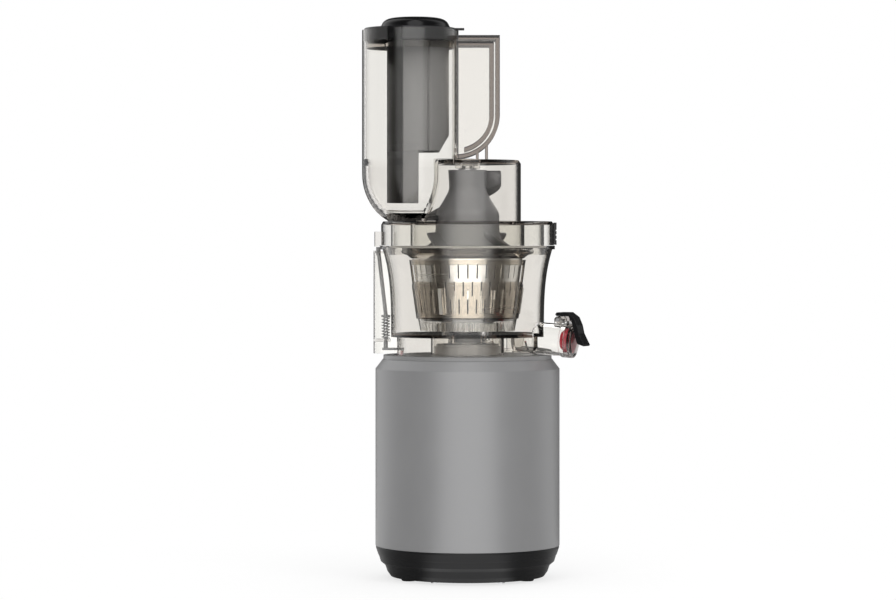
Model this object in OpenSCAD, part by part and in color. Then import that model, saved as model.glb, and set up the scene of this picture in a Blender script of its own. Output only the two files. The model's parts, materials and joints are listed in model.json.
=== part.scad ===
/* [Motor base] */
// Outer radius of the motor body
body_r = 81; // [79:0.5:84]
// Wall of the motor body
body_wall = 2.5; // [2:0.25:3]
// Height of the black skirt's top edge
skirt_top = 29; // [27:0.5:31]
// Height of the straight side of the motor body
body_h = 155; // [153:1:160]
// Height of the sloped shoulder
shoulder_h = 8.5; // [7:0.5:10]
// How far the shoulder leans in
shoulder_in = 6.5; // [5:0.5:8]
// Thickness of the top deck
deck_t = 3.5; // [3:0.25:4]
// Radius of the drive boss that carries the bowl
boss_r = 29.5; // [28.5:0.25:30.5]
// Height of the drive boss above the deck
boss_h = 9.5; // [9:0.25:10]
// How far a rubber foot stands out below the skirt
foot_out = 2.2; // [1.8:0.1:3]
// Radius of a rubber foot
foot_r = 6.5; // [5.5:0.25:7.5]
// How far the feet's centres lie inside the motor body's outside
foot_place = 23; // [22:0.5:25]

/* [Motor and gears] */
// Radius of the round bore in the motor's lamination stack
stator_bore = 25; // [23:0.5:27]
// Half width of the square lamination stack
stator_half = 41; // [39:0.5:43]
// Height of the lamination stack
stator_h = 44; // [38:1:46]
// Air gap between rotor and stack
air_gap = 0.5; // [0.4:0.1:0.8]
// Radius of the motor shaft
motor_shaft_r = 4; // [3.5:0.25:4.5]
// Size of the gearbox teeth
box_tooth = 1.25; // [1.2:0.01:1.27]
// Teeth of each small gearbox pinion
pinion_teeth = 10; // [10:1:11]
// Teeth of each large gearbox wheel
wheel_teeth = 50; // [48:1:50]
// Width of the hexagonal drive shaft across its flats
hex_flats = 14; // [13:0.5:15]
// Play between the hexagonal shaft and its socket, across the flats
hex_play = 0.6; // [0.4:0.1:1]

/* [Bowl] */
// Outer radius of the bowl near its floor
bowl_r = 67.3; // [66.8:0.1:68]
// How far the bowl's rim flares out
bowl_flare = 8.4; // [8:0.1:9]
// Height of the bowl from under its floor to its rim
bowl_h = 80; // [79:0.5:82]
// Wall of the bowl
bowl_wall = 3; // [2.6:0.1:3.2]
// Thickness of the bowl's floor
floor_t = 3; // [2.5:0.25:3.25]
// Height of the bowl's foot ring
bowl_foot_h = 16; // [15.5:0.1:16.5]
// Outer radius of the bowl's foot ring
bowl_foot_r = 62; // [60:0.5:63]
// Direction of the juice spout about the axis
spout_turn = -22; // [-28:1:-16]
// Outer radius of the juice spout
spout_r = 14; // [13:0.25:14.25]
// Wall of the juice spout
spout_wall = 2.4; // [2:0.1:2.8]
// Distance of the spout's mouth from the axis
spout_reach = 94; // [91:0.5:97]
// Direction of the pulp outlet about the axis
pulp_turn = 65; // [58:1:72]
// Distance of the pulp outlet's mouth from the axis
pulp_reach = 106; // [100:1:112]

/* [Strainer and brush] */
// Outer radius of the strainer drum at its top
drum_top_r = 48.5; // [47.5:0.25:48.75]
// Outer radius of the strainer drum at its bottom
drum_low_r = 40.8; // [40.2:0.1:41]
// Sheet thickness of the strainer drum
drum_t = 0.8; // [0.6:0.1:1]
// Radius of the strainer's top flange
flange_r = 58.7; // [57:0.25:60]
// Slits around the strainer drum in each row
drum_slits = 36; // [24:2:40]
// Size of the brush drive's teeth
brush_tooth = 1.5; // [1.45:0.01:1.52]
// Number of wiping blades on the spinning brush
wiper_count = 3; // [2:1:4]

/* [Hopper] */
// Outer radius of the lid's collar
lid_r = 76; // [75.5:0.25:77]
// Height of the lid's collar
lid_collar_h = 18; // [17:0.5:19]
// Thickness of the lid's plate
lid_t = 3; // [2.6:0.2:3.4]
// Outer radius of the feed tube
tube_r = 42.45; // [41.5:0.25:43.5]
// Wall of the feed tube
tube_wall = 3; // [2.6:0.1:3.2]
// Distance of the feed tube from the drive axis
tube_offset = 50.35; // [49.5:0.25:51.5]
// Height of the hopper from the lid to the tube's rim
tube_h = 168.2; // [160:1:176]
// Outer radius of the auger chamber
chamber_r = 44.5; // [44:0.25:45.5]
// How far the auger chamber is set off the axis
chamber_shift = 2.5; // [2:0.25:3]
// Height of the auger chamber
chamber_h = 53.7; // [53:0.25:55]
// Wall of the auger chamber
chamber_wall = 3.5; // [3.2:0.1:3.6]
// Width of the hollow grip beside the feed tube
grip_w = 42; // [38:1:46]
// How far the grip stands out from the feed tube
grip_out = 36; // [33:0.5:38]

/* [Auger and pusher] */
// Radius of the auger's flight where it meets the feed tube
flight_r = 37.5; // [36.5:0.25:37.75]
// Number of pressing ridges on the auger
ridge_count = 4; // [3:1:5]
// Radius of the pusher's stem
pusher_r = 27.3; // [26:0.25:28]
// Radius of the pusher's black flange
pusher_flange_r = 40.7; // [40:0.1:41]
// Height of the pusher's dome above its flange
pusher_dome_h = 9.4; // [8:0.2:11]

/* [Hidden] */

$fn = 96;
small_fn = 32;

// Clearances
run_gap = 0.05;
seat_gap = 0.3;
slide_gap = 0.4;

// Colours
grey = [0.60, 0.60, 0.61];
black = [0.07, 0.07, 0.08];
clear = [0.86, 0.83, 0.78, 0.45];
steel = [0.75, 0.75, 0.76];
red = [0.72, 0.15, 0.20];
mid_grey = [0.45, 0.45, 0.46];
brown_grey = [0.33, 0.30, 0.28];

// Levels of the base, from the floor up
shoulder_z = skirt_top + body_h;
body_top = shoulder_z + shoulder_h;
top_r = body_r - shoulder_in;
shell_in = body_r - body_wall;
deck_z = body_top + deck_t;
deck_r = top_r - 0.5;
boss_top = deck_z + boss_h;

// Inner parts of the base
plate_z = foot_out + 0.4;
plate_t = 3;
plate_r = body_r - 17;
screw_place = plate_r - 7;
foot_axis = body_r - foot_place;
screw_turns = [60, 120, 240, 300];
foot_turns = [28, 152, 208, 332];
ledge_z = 92;
ledge_t = 4;
ledge_in = shell_in - 10.5;
mount_h = 6;
mount_place = ledge_in + 4;
mount_turns = [20, 160, 200, 340];
box_z = ledge_z + ledge_t + mount_h;
box_plate_t = 5;
box_floor = box_z + box_plate_t;
bracket_z = 36;
bracket_t = 4;
stator_z = 46;
tie_r = 2.5;
tie_place = stator_half - 7;
gear_h1 = 9;
gear1_z = box_floor + 2;
gear2_h = 15;
gear2_z = gear1_z + gear_h1 + 5;
gear_axis = box_tooth * (pinion_teeth + wheel_teeth) / 2;
gear_tip = box_tooth * (wheel_teeth / 2 + 0.8);
box_room = gear_tip + 2;
box_wall = 2.5;
box_roof = gear2_z + gear2_h + 3;
roof_t = 4;
neck_r = 19;
neck_top = body_top - 3;
bearing_out = 13;
bearing_h = 9;
drive_r = 9;
hex_top = boss_top + 38;
lay_turn = -90;
lay_shaft_r = 4;
small_bearing_r = 9;
small_bearing_h = 4;

// Levels of the bowl
foot_z = deck_z + 0.3;
floor_z = foot_z + bowl_foot_h - 0.3;
floor_top = floor_z + floor_t;
rim_z = floor_z + bowl_h;
boss_collar_in = boss_r + slide_gap;
hub_bore = 12.1;
hub_r = 17;
hub_low = boss_top + 0.8;
spout_in = 46;
spout_fall = 4;
spout_z = deck_z + spout_r + 0.9 + (top_r - spout_in) * sin(spout_fall);
spout_bore = spout_r - spout_wall;

// Interlock column on the bowl's left
column_x = -bowl_r - 6.6;
column_r = 8.8;
column_wall = 1.5;
column_low = foot_z + 1;
column_top = rim_z - 4.5;
rod_r = 1.9;
rod_x = column_x + 1.9;
rod_bend_z = floor_z + 20;
rod_top_x = column_x - 4.6;
rod_lift = 2.8;
plunger_x = -bowl_foot_r + 3;

// Strainer, brush and auger levels
gear_z = floor_top + 2.3;
gear_w = 7.2;
auger_teeth = 24;
idler_teeth = 12;
strainer_low = gear_z + gear_w + 1.5;
strainer_floor_t = 3;
drum_top = rim_z - 11;
flange_t = 6.5;
flange_top = drum_top + flange_t + 1.5;
idler_turn = -60;
sun_pitch = brush_tooth * auger_teeth / 2;
idler_pitch = brush_tooth * idler_teeth / 2;
idler_place = sun_pitch + idler_pitch;
ring_pitch = idler_place + idler_pitch;
ring_teeth = auger_teeth + 2 * idler_teeth;
ring_out = ring_pitch + 5.5;
band_low = strainer_low + 2;
band_top = band_low + 30;
brush_top = drum_top - 1.5;
hole_r = 20.4;
auger_low = strainer_low + strainer_floor_t + 1;
spindle_r = hub_bore - run_gap;

// Levels of the hopper
lid_low = rim_z + seat_gap;
lid_top = lid_low + lid_collar_h + lid_t;
lid_under = lid_top - lid_t;
lid_hole = flight_r + 0.9;
skirt_out = 67.4;
tube_top = lid_top + tube_h;
chamber_top = lid_top + chamber_h;
chamber_in = chamber_r - chamber_wall;
tube_in = tube_r - tube_wall;
pocket_wall = 5.5;
pocket_z = lid_top + 42;
pocket_drop = 47;
bush_r = 11;
pin_r = 5;
pin_top = chamber_top - 5;
auger_top = chamber_top - 8.5;
rim_step = 10.5;
rim_in = pusher_flange_r + slide_gap;

// Levels of the pusher
pusher_x = -43.6;
flange_low = tube_top - rim_step + seat_gap;
flange_h = 12;
stem_long_z = lid_top + 16.2;
stem_short_z = chamber_top + 7.5;
stem_split_x = -43.2;

// Shared shapes

module tube(out_r, in_r, h) {
    difference() {
        cylinder(r = out_r, h = h);
        translate([0, 0, -1]) cylinder(r = in_r, h = h + 2);
    }
}

module at_turns(turns, place) {
    for (turn = turns) rotate([0, 0, turn]) translate([place, 0, 0]) children();
}

module sector(out_r, in_r, h, sweep) {
    rotate_extrude(angle = sweep) translate([in_r, 0]) square([out_r - in_r, h]);
}

// Half angle of a tooth at radius r, for n teeth of size m
press = 25;
tooth_play = 0.16;
function involute(a) = tan(a) * 180 / PI - a;
function tooth_half(r, n, m, play) =
    let (pitch = n * m / 2, base = pitch * cos(press))
    90 / n - play / pitch * 90 / PI + involute(press)
        - involute(acos(min(1, base / max(r, base))));

function gear_points(n, m, high, deep, play) =
    let (pitch = n * m / 2, base = pitch * cos(press),
        radii = [pitch - deep * m, max(pitch - 0.55 * deep * m, base), pitch, pitch + high * m])
    [for (i = [0 : n - 1], k = [0 : 7])
        let (r = radii[k < 4 ? k : 7 - k], side = k < 4 ? -1 : 1,
            a = 360 * i / n + side * tooth_half(r, n, m, play))
        [r * cos(a), r * sin(a)]];

module gear(n, m, h) {
    linear_extrude(height = h) polygon(gear_points(n, m, 0.8, 1.05, tooth_play * m));
}

module inner_gear_cut(n, m, h) {
    linear_extrude(height = h) polygon(gear_points(n, m, 1.05, 0.8, -tooth_play * m));
}

module hex_prism(flats, h) {
    cylinder(r = flats / 2 / cos(30), h = h, $fn = 6);
}

// Radius of the bowl's outside, which flares with a power of its height
bowl_steps = 14;
function bowl_out(z) = bowl_r + bowl_flare * pow(max(0, min(1, (z - floor_z) / bowl_h)), 3.3);
bowl_curve = [for (i = [0 : bowl_steps])
    let (z = floor_z + bowl_h * i / bowl_steps) [bowl_out(z), z]];
bowl_inner_curve = [for (i = [bowl_steps : -1 : 0])
    let (z = max(floor_top, floor_z + bowl_h * i / bowl_steps)) [bowl_out(z) - bowl_wall, z]];

module bowl_outer_solid() {
    rotate_extrude() polygon(concat([[0, floor_z]], bowl_curve, [[0, rim_z]]));
}

// The spout's own frame: X runs outwards, the mouth lies at spout_reach
module spout_frame() {
    rotate([0, 0, spout_turn]) translate([spout_in, 0, spout_z]) rotate([0, 90 + spout_fall, 0])
        children();
}

spout_len = (spout_reach - spout_in) / cos(spout_fall);
spout_end_z = spout_z - spout_len * sin(spout_fall);

// Radius of the strainer drum's outside at height z
function drum_out(z) = drum_low_r
    + (drum_top_r - drum_low_r) * (z - strainer_low) / (drum_top - strainer_low);

// Base

module shell_profile() {
    polygon([[body_r, skirt_top], [body_r, shoulder_z], [top_r, body_top],
        [top_r - 5, body_top], [top_r - 5, body_top - 3], [top_r - 2, body_top - 3],
        [shell_in, shoulder_z - 1.5], [shell_in, ledge_z + ledge_t], [ledge_in, ledge_z + ledge_t],
        [ledge_in, ledge_z + 1.5], [shell_in, ledge_z - 6], [shell_in, skirt_top]]);
}

rocker_z = 140;
rocker_w = 30;
rocker_h = 22;
inlet_z = 46;
inlet_r = 8;

module body_shell() {
    color(grey) difference() {
        union() {
            rotate_extrude() shell_profile();
            at_turns(screw_turns, screw_place) screw_boss();
            for (side = [-1, 1]) board_rail(side);
        }
        translate([-rocker_w / 2, shell_in - 12, rocker_z - rocker_h / 2])
            cube([rocker_w, 30, rocker_h]);
        translate([0, body_r + 5, inlet_z]) rotate([90, 0, 0]) cylinder(r = inlet_r, h = 30);
        at_turns(screw_turns, screw_place) translate([0, 0, plate_z])
            cylinder(r = 1.5, h = 24, $fn = small_fn);
    }
}

module screw_boss() {
    translate([0, 0, plate_z + plate_t]) cylinder(r = 4.5, h = 38, $fn = small_fn);
    translate([0, -1.5, skirt_top]) cube([shell_in + 0.5 - screw_place, 3, 14]);
}

board_w = 50;
rail_x = -sqrt(pow(shell_in, 2) - pow(board_w / 2 + 3, 2)) - 1.4;
board_x = rail_x + 12.8;
board_z = 44;
board_h = 44;

module board_rail(side) {
    translate([0, side * (board_w / 2 + 1.5), board_z - 4]) difference() {
        translate([rail_x, -1.5 - 2 * (side + 1) / 2, 0]) cube([17, 5, 8]);
        translate([board_x - 0.2, -side * 3 - 2.5, 2]) cube([2, 5, 20]);
    }
}

// Silhouette of the skirt, stepped in twice towards the floor
module base_skirt() {
    color(black) rotate_extrude() polygon([[body_r - 0.4, skirt_top], [body_r - 0.4, skirt_top - 2],
        [body_r - 2.4, skirt_top - 8], [body_r - 2.9, skirt_top - 8.4], [body_r - 4.6, skirt_top - 14],
        [body_r - 8.3, skirt_top - 17], [body_r - 8.8, skirt_top - 18], [body_r - 10.5, foot_out + 4],
        [body_r - 13.4, foot_out], [plate_r + 0.6, foot_out], [plate_r + 0.6, plate_z + plate_t],
        [body_r - 13, skirt_top - 17], [body_r - 7.5, skirt_top - 12], [body_r - 5.5, skirt_top - 3],
        [body_r - 5.5, skirt_top]]);
}

slot_l = 48;

module bottom_plate() {
    color(black) difference() {
        translate([0, 0, plate_z]) cylinder(r = plate_r + 0.3, h = plate_t);
        for (row = [-4 : 4]) translate([-slot_l / 2, row * 7 - 1.5, plate_z - 1])
            cube([slot_l, 3, plate_t + 2]);
        at_turns(screw_turns, screw_place) translate([0, 0, plate_z - 1])
            cylinder(r = 1.9, h = plate_t + 2, $fn = small_fn);
        at_turns(foot_turns, foot_axis) translate([0, 0, plate_z - 1])
            cylinder(r = foot_r - 2, h = plate_t + 2, $fn = small_fn);
    }
}

// Each foot has a pad under the plate and a plug that fills its hole
module feet() {
    color(black) at_turns(foot_turns, foot_axis) {
        cylinder(r1 = foot_r - 0.8, r2 = foot_r, h = 0.8, $fn = small_fn);
        translate([0, 0, 0.8]) cylinder(r = foot_r, h = plate_z - 0.8, $fn = small_fn);
        cylinder(r = foot_r - 2.05, h = plate_z + plate_t, $fn = small_fn);
    }
}

module bottom_screws() {
    color(steel) at_turns(screw_turns, screw_place) {
        translate([0, 0, foot_out - 1.8]) difference() {
            cylinder(r = 3.4, h = plate_z - foot_out + 1.8, $fn = small_fn);
            translate([0, 0, -1]) cylinder(r = 1.5, h = 2.2, $fn = 6);
        }
        translate([0, 0, plate_z - 0.2]) cylinder(r = 1.45, h = 20, $fn = small_fn);
    }
}

module top_deck() {
    color(black) difference() {
        union() {
            translate([0, 0, body_top]) cylinder(r = deck_r, h = deck_t);
            translate([0, 0, body_top - 3.5]) tube(top_r - 5.3, top_r - 8, 4);
            translate([plunger_x, 0, body_top - 3]) cylinder(r = 5, h = 4, $fn = small_fn);
        }
        translate([0, 0, body_top - 5]) cylinder(r = neck_r + 0.3, h = 20);
        translate([plunger_x, 0, body_top - 8]) cylinder(r = 2.6, h = 20, $fn = small_fn);
    }
}

module drive_boss() {
    color(grey) translate([0, 0, deck_z]) difference() {
        union() {
            cylinder(r = boss_r, h = boss_h - 2);
            cylinder(r = boss_r - 2, h = boss_h);
        }
        translate([0, 0, -1]) cylinder(r = neck_r + 0.3, h = boss_h - 3);
        cylinder(r = drive_r + 0.6, h = boss_h + 2);
    }
}

module motor_stator() {
    color(steel) difference() {
        union() {
            translate([-stator_half, -stator_half, stator_z]) cube([2 * stator_half, 2 * stator_half,
                stator_h]);
            for (z = [stator_z - 5, stator_z + stator_h]) translate([0, 0, z])
                tube(stator_half - 8, stator_bore + 3, 5);
        }
        translate([0, 0, stator_z - 10]) cylinder(r = stator_bore, h = stator_h + 20);
        for (x = [-1, 1], y = [-1, 1]) {
            translate([x * tie_place, y * tie_place, stator_z - 1])
                cylinder(r = tie_r + 0.2, h = stator_h + 2, $fn = small_fn);
            translate([x * stator_half, y * stator_half, stator_z - 1]) rotate([0, 0, 45])
                cube([7, 7, 3 * stator_h], center = true);
        }
    }
}

module motor_bracket() {
    color(mid_grey) difference() {
        union() {
            for (turn = [45, 135]) rotate([0, 0, turn])
                translate([-tie_place * sqrt(2) - 5, -6, bracket_z])
                cube([2 * tie_place * sqrt(2) + 10, 12, bracket_t]);
            translate([0, 0, bracket_z]) cylinder(r = 16, h = bracket_t + 2);
            for (x = [-1, 1], y = [-1, 1]) translate([x * tie_place, y * tie_place, bracket_z])
                cylinder(r = tie_r, h = box_z - bracket_z, $fn = small_fn);
            for (x = [-1, 1], y = [-1, 1]) translate([x * tie_place, y * tie_place, bracket_z])
                cylinder(r = tie_r + 2, h = stator_z - bracket_z, $fn = small_fn);
        }
        translate([0, 0, bracket_z - 1]) cylinder(r = small_bearing_r, h = 10);
    }
}

module motor_mounts() {
    color(black) at_turns(mount_turns, mount_place) translate([0, 0, ledge_z + ledge_t])
        rotate_extrude($fn = small_fn) polygon([[1.6, 0], [3.6, 0], [3.6, 1.5], [2.6, 2.5],
            [2.6, 3.5], [3.6, 4.5], [3.6, mount_h], [1.6, mount_h]]);
}

// Outline that holds both gear axes with a margin around each
module box_outline(r) {
    circle(r = r);
    rotate([0, 0, lay_turn]) {
        translate([gear_axis, 0]) circle(r = r);
        translate([0, -r]) square([gear_axis, 2 * r]);
    }
}

module gearbox_base() {
    color(mid_grey) translate([0, 0, box_z]) difference() {
        linear_extrude(height = box_plate_t) {
            box_outline(box_room + box_wall);
            for (turn = mount_turns) rotate(turn) translate([box_room - 8, -5])
                square([mount_place + 12 - box_room, 10]);
        }
        translate([0, 0, -1]) cylinder(r = small_bearing_r, h = box_plate_t + 2);
        rotate([0, 0, lay_turn]) translate([gear_axis, 0, -1])
            cylinder(r = small_bearing_r, h = box_plate_t + 2);
        at_turns(mount_turns, mount_place) translate([0, 0, -1])
            cylinder(r = 1.6, h = box_plate_t + 2, $fn = small_fn);
    }
}

module gearbox_cover() {
    color(mid_grey) difference() {
        union() {
            translate([0, 0, box_floor]) linear_extrude(height = box_roof + roof_t - box_floor)
                box_outline(box_room + box_wall);
            cylinder(r = neck_r, h = neck_top);
            rotate([0, 0, lay_turn]) translate([gear_axis, 0, box_roof])
                cylinder(r = small_bearing_r + 3, h = roof_t + 3);
        }
        translate([0, 0, box_floor - 1]) linear_extrude(height = box_roof - box_floor + 1)
            box_outline(box_room);
        cylinder(r = bearing_out, h = neck_top + 5);
        rotate([0, 0, lay_turn]) translate([gear_axis, 0, box_floor])
            cylinder(r = small_bearing_r, h = box_roof - box_floor + small_bearing_h);
        translate([0, 0, -1]) cylinder(r = 2 * body_r, h = box_floor + 1);
    }
}

module bearing(out_r, in_r, h) {
    difference() {
        cylinder(r = out_r - 0.02, h = h);
        translate([0, 0, -1]) cylinder(r = in_r + run_gap, h = h + 2);
        for (z = [-1, h - 0.8]) translate([0, 0, z]) tube(out_r * 0.8, in_r + 1.5, 1.8);
    }
}

neck_bearing_z = [box_roof + roof_t + 2, neck_top - bearing_h - 1];

module shaft_bearings() {
    color(steel) {
        translate([0, 0, bracket_z]) bearing(small_bearing_r, motor_shaft_r, bracket_t + 2);
        translate([0, 0, box_z]) bearing(small_bearing_r, motor_shaft_r, box_plate_t);
        rotate([0, 0, lay_turn]) translate([gear_axis, 0, 0]) {
            translate([0, 0, box_z]) bearing(small_bearing_r, lay_shaft_r, box_plate_t);
            translate([0, 0, box_roof]) bearing(small_bearing_r, lay_shaft_r, small_bearing_h);
        }
        for (z = neck_bearing_z) translate([0, 0, z]) bearing(bearing_out, drive_r, bearing_h);
    }
}

module control_board() {
    color([0.12, 0.35, 0.20]) {
        translate([board_x, -board_w / 2, board_z]) cube([1.6, board_w, board_h]);
        for (i = [0 : 2]) translate([board_x + 1.6, -15 + 12 * i, board_z + 12]) rotate([0, 90, 0])
            cylinder(r = 4, h = 9, $fn = small_fn);
        translate([board_x + 1.6, -18, board_z + 24]) cube([7, 30, 14]);
    }
}

module rocker_frame() {
    color(black) difference() {
        union() {
            translate([-rocker_w / 2 + 0.2, shell_in - 14, rocker_z - rocker_h / 2 + 0.2])
                cube([rocker_w - 0.4, 17.5, rocker_h - 0.4]);
            difference() {
                translate([-rocker_w / 2 - 2, body_r - 4, rocker_z - rocker_h / 2 - 2])
                    cube([rocker_w + 4, 6, rocker_h + 4]);
                cylinder(r = body_r + 0.03, h = 2 * rocker_z);
            }
        }
        translate([-rocker_w / 2 + 2.5, shell_in - 5, rocker_z - rocker_h / 2 + 2.5])
            cube([rocker_w - 5, 20, rocker_h - 5]);
        translate([-rocker_w / 2 + 1.2, rocker_pivot_y, rocker_z]) rotate([0, 90, 0])
            cylinder(r = 1.3, h = rocker_w - 2.4, $fn = small_fn);
    }
}

rocker_pivot_y = body_r - 3;

// A rocker with two sloping faces that meet over its pivot
module rocker_button() {
    half_h = rocker_h / 2 - 3.2;
    color([0.15, 0.15, 0.16]) {
        translate([-rocker_w / 2 + 3, 0, 0]) rotate([90, 0, 90]) linear_extrude(height = rocker_w - 6)
            polygon([[rocker_pivot_y - 2, rocker_z - half_h + 1.5], [body_r + 2.6, rocker_z - half_h],
                [body_r + 0.9, rocker_z], [body_r + 2.6, rocker_z + half_h],
                [rocker_pivot_y - 2, rocker_z + half_h - 1.5]]);
        translate([-rocker_w / 2 + 1.5, rocker_pivot_y, rocker_z]) rotate([0, 90, 0])
            cylinder(r = 1.25, h = rocker_w - 3, $fn = small_fn);
    }
}

switch_z = body_top - 17;

module safety_switch() {
    color(black) difference() {
        translate([plunger_x - 7, -4, switch_z]) cube([20, 8, 14]);
        translate([plunger_x, 0, switch_z + 6]) cylinder(r = 1.4, h = 20, $fn = small_fn);
    }
}

rod_foot_z = foot_z + 3.8;

module switch_plunger() {
    color(red) {
        translate([plunger_x, 0, body_top - 2.5]) cylinder(r = 2.5, h = rod_foot_z - 0.3 - body_top + 2.5,
            $fn = small_fn);
        translate([plunger_x, 0, switch_z + 8]) cylinder(r = 1.2, h = 9, $fn = small_fn);
    }
}

module cord_inlet() {
    color(black) translate([0, shell_in, inlet_z]) rotate([-90, 0, 0]) difference() {
        union() {
            translate([0, 0, -4]) cylinder(r = inlet_r - 0.1, h = 10);
            translate([0, 0, body_wall + 0.3]) cylinder(r = inlet_r + 2.5, h = 2.5);
            translate([0, 0, -3]) cylinder(r = inlet_r + 1.5, h = 2);
        }
        translate([0, 0, -5]) cylinder(r = 4, h = 20);
    }
}

// Motor and gear train

module rotor_core() {
    color(steel) translate([0, 0, stator_z + 1]) tube(stator_bore - air_gap, motor_shaft_r,
        stator_h - 2);
}

shaft_low = 16;

module motor_shaft() {
    color(steel) {
        translate([0, 0, shaft_low]) cylinder(r = motor_shaft_r, h = gear1_z - shaft_low + 0.01);
        translate([0, 0, gear1_z]) gear(pinion_teeth, box_tooth, gear_h1 + 1.5);
    }
}

fan_z = 18;
fan_h = 12;
fan_r = 34;
fan_hub_r = 10;
fan_blades = 8;

module cooling_fan() {
    color([0.85, 0.85, 0.82]) difference() {
        union() {
            translate([0, 0, fan_z]) cylinder(r = fan_hub_r, h = fan_h);
            translate([0, 0, fan_z]) cylinder(r = fan_r, h = 1.5);
            for (i = [0 : fan_blades - 1]) rotate([0, 0, 360 / fan_blades * i])
                translate([fan_hub_r - 2, -0.8, fan_z]) rotate([0, 0, 12])
                cube([fan_r - fan_hub_r + 2, 1.6, fan_h]);
        }
        translate([0, 0, fan_z - 1]) cylinder(r = motor_shaft_r, h = fan_h + 8);
    }
}

module on_lay_axis() {
    rotate([0, 0, lay_turn]) translate([gear_axis, 0, 0]) children();
}

// The lay shaft's first wheel meshes with the motor pinion, so a gap faces the centre
module lay_gear() {
    color([0.85, 0.83, 0.75]) on_lay_axis() translate([0, 0, gear1_z]) difference() {
        rotate([0, 0, 180 + (wheel_teeth % 2 == 0 ? 180 / wheel_teeth : 0)
            + mesh_turn]) gear(wheel_teeth, box_tooth, gear_h1);
        translate([0, 0, -1]) cylinder(r = lay_shaft_r + 2, h = gear_h1 + 2);
        for (i = [0 : 5]) rotate([0, 0, 60 * i]) translate([18, 0, 2]) cylinder(r = 6, h = gear_h1,
            $fn = small_fn);
    }
}

// The motor pinion's phase as seen along the line to the lay shaft
pinion_step = 360 / pinion_teeth;
mesh_turn = -pinion_teeth / wheel_teeth * (lay_turn - pinion_step * round(lay_turn / pinion_step));

module lay_pinion() {
    color(steel) on_lay_axis() {
        translate([0, 0, box_z + 0.5]) cylinder(r = lay_shaft_r, h = gear2_z - box_z);
        translate([0, 0, gear1_z]) cylinder(r = lay_shaft_r + 2, h = gear_h1);
        translate([0, 0, gear1_z + gear_h1]) cylinder(r = lay_shaft_r + 3.2, h = 1.5);
        translate([0, 0, gear2_z - 1]) rotate([0, 0, pinion_phase]) gear(pinion_teeth, box_tooth,
            gear2_h + 2);
        translate([0, 0, gear2_z]) cylinder(r = lay_shaft_r, h = box_roof + small_bearing_h - gear2_z - 0.5);
    }
}

// A pinion tooth points at the output wheel, whose gap faces the lay shaft
pinion_phase = 180;

module output_gear() {
    color([0.85, 0.83, 0.75]) translate([0, 0, gear2_z]) difference() {
        rotate([0, 0, lay_turn + 180 / wheel_teeth]) gear(wheel_teeth, box_tooth, gear2_h);
        translate([0, 0, -1]) cylinder(r = drive_r, h = gear2_h + 2);
        for (i = [0 : 5]) rotate([0, 0, 60 * i]) translate([20, 0, 3]) cylinder(r = 7, h = gear2_h,
            $fn = small_fn);
    }
}

module drive_shaft() {
    color(steel) {
        translate([0, 0, gear2_z - 1]) cylinder(r = drive_r, h = boss_top + 0.5 - gear2_z);
        translate([0, 0, gear2_z - 2.5]) cylinder(r = drive_r + 3, h = 2.5);
        translate([0, 0, boss_top - 1]) hex_prism(hex_flats, hex_top - boss_top);
        translate([0, 0, hex_top - 1]) cylinder(r1 = hex_flats / 2, r2 = hex_flats / 2 - 2, h = 2.5);
    }
}

// Bowl

lug_turns = [0, 90, 180, 270];
lug_sweep = 24;
bowl_lug_z = rim_z - 5.2;
lug_h = 2.2;

module pulp_frame() {
    rotate([0, 0, pulp_turn]) children();
}

pulp_in = 23.5;
pulp_hole_out = 32;
pulp_w = 20;
pulp_wall = 2;

// Side outline of the pulp passage, from the floor hole out over the shoulder and down
module pulp_outline(grow) {
    polygon([[pulp_in - grow, hub_low + 1.8 - grow], [boss_r + 3, hub_low + 1.8 - grow],
        [boss_r + 8, foot_z + 3 - grow], [top_r + 2, foot_z + 3 - grow],
        [body_r + 3.5 - grow, shoulder_z + 2], [body_r + 3.5 - grow, shoulder_z - 3],
        [pulp_reach - pulp_wall + grow, shoulder_z - 3], [pulp_reach - pulp_wall + grow, floor_z - 10],
        [pulp_reach - 8, floor_z - pulp_wall + grow], [pulp_in - grow, floor_z - pulp_wall + grow]]);
}

module pulp_solid(grow) {
    w = pulp_w + 2 * grow;
    pulp_frame() rotate([90, 0, 0]) translate([0, 0, -w / 2]) linear_extrude(height = w)
        pulp_outline(grow);
}

module pulp_hole(h0, h1) {
    pulp_frame() translate([pulp_in, -7, h0]) cube([pulp_hole_out - pulp_in, 14, h1 - h0]);
}

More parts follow.
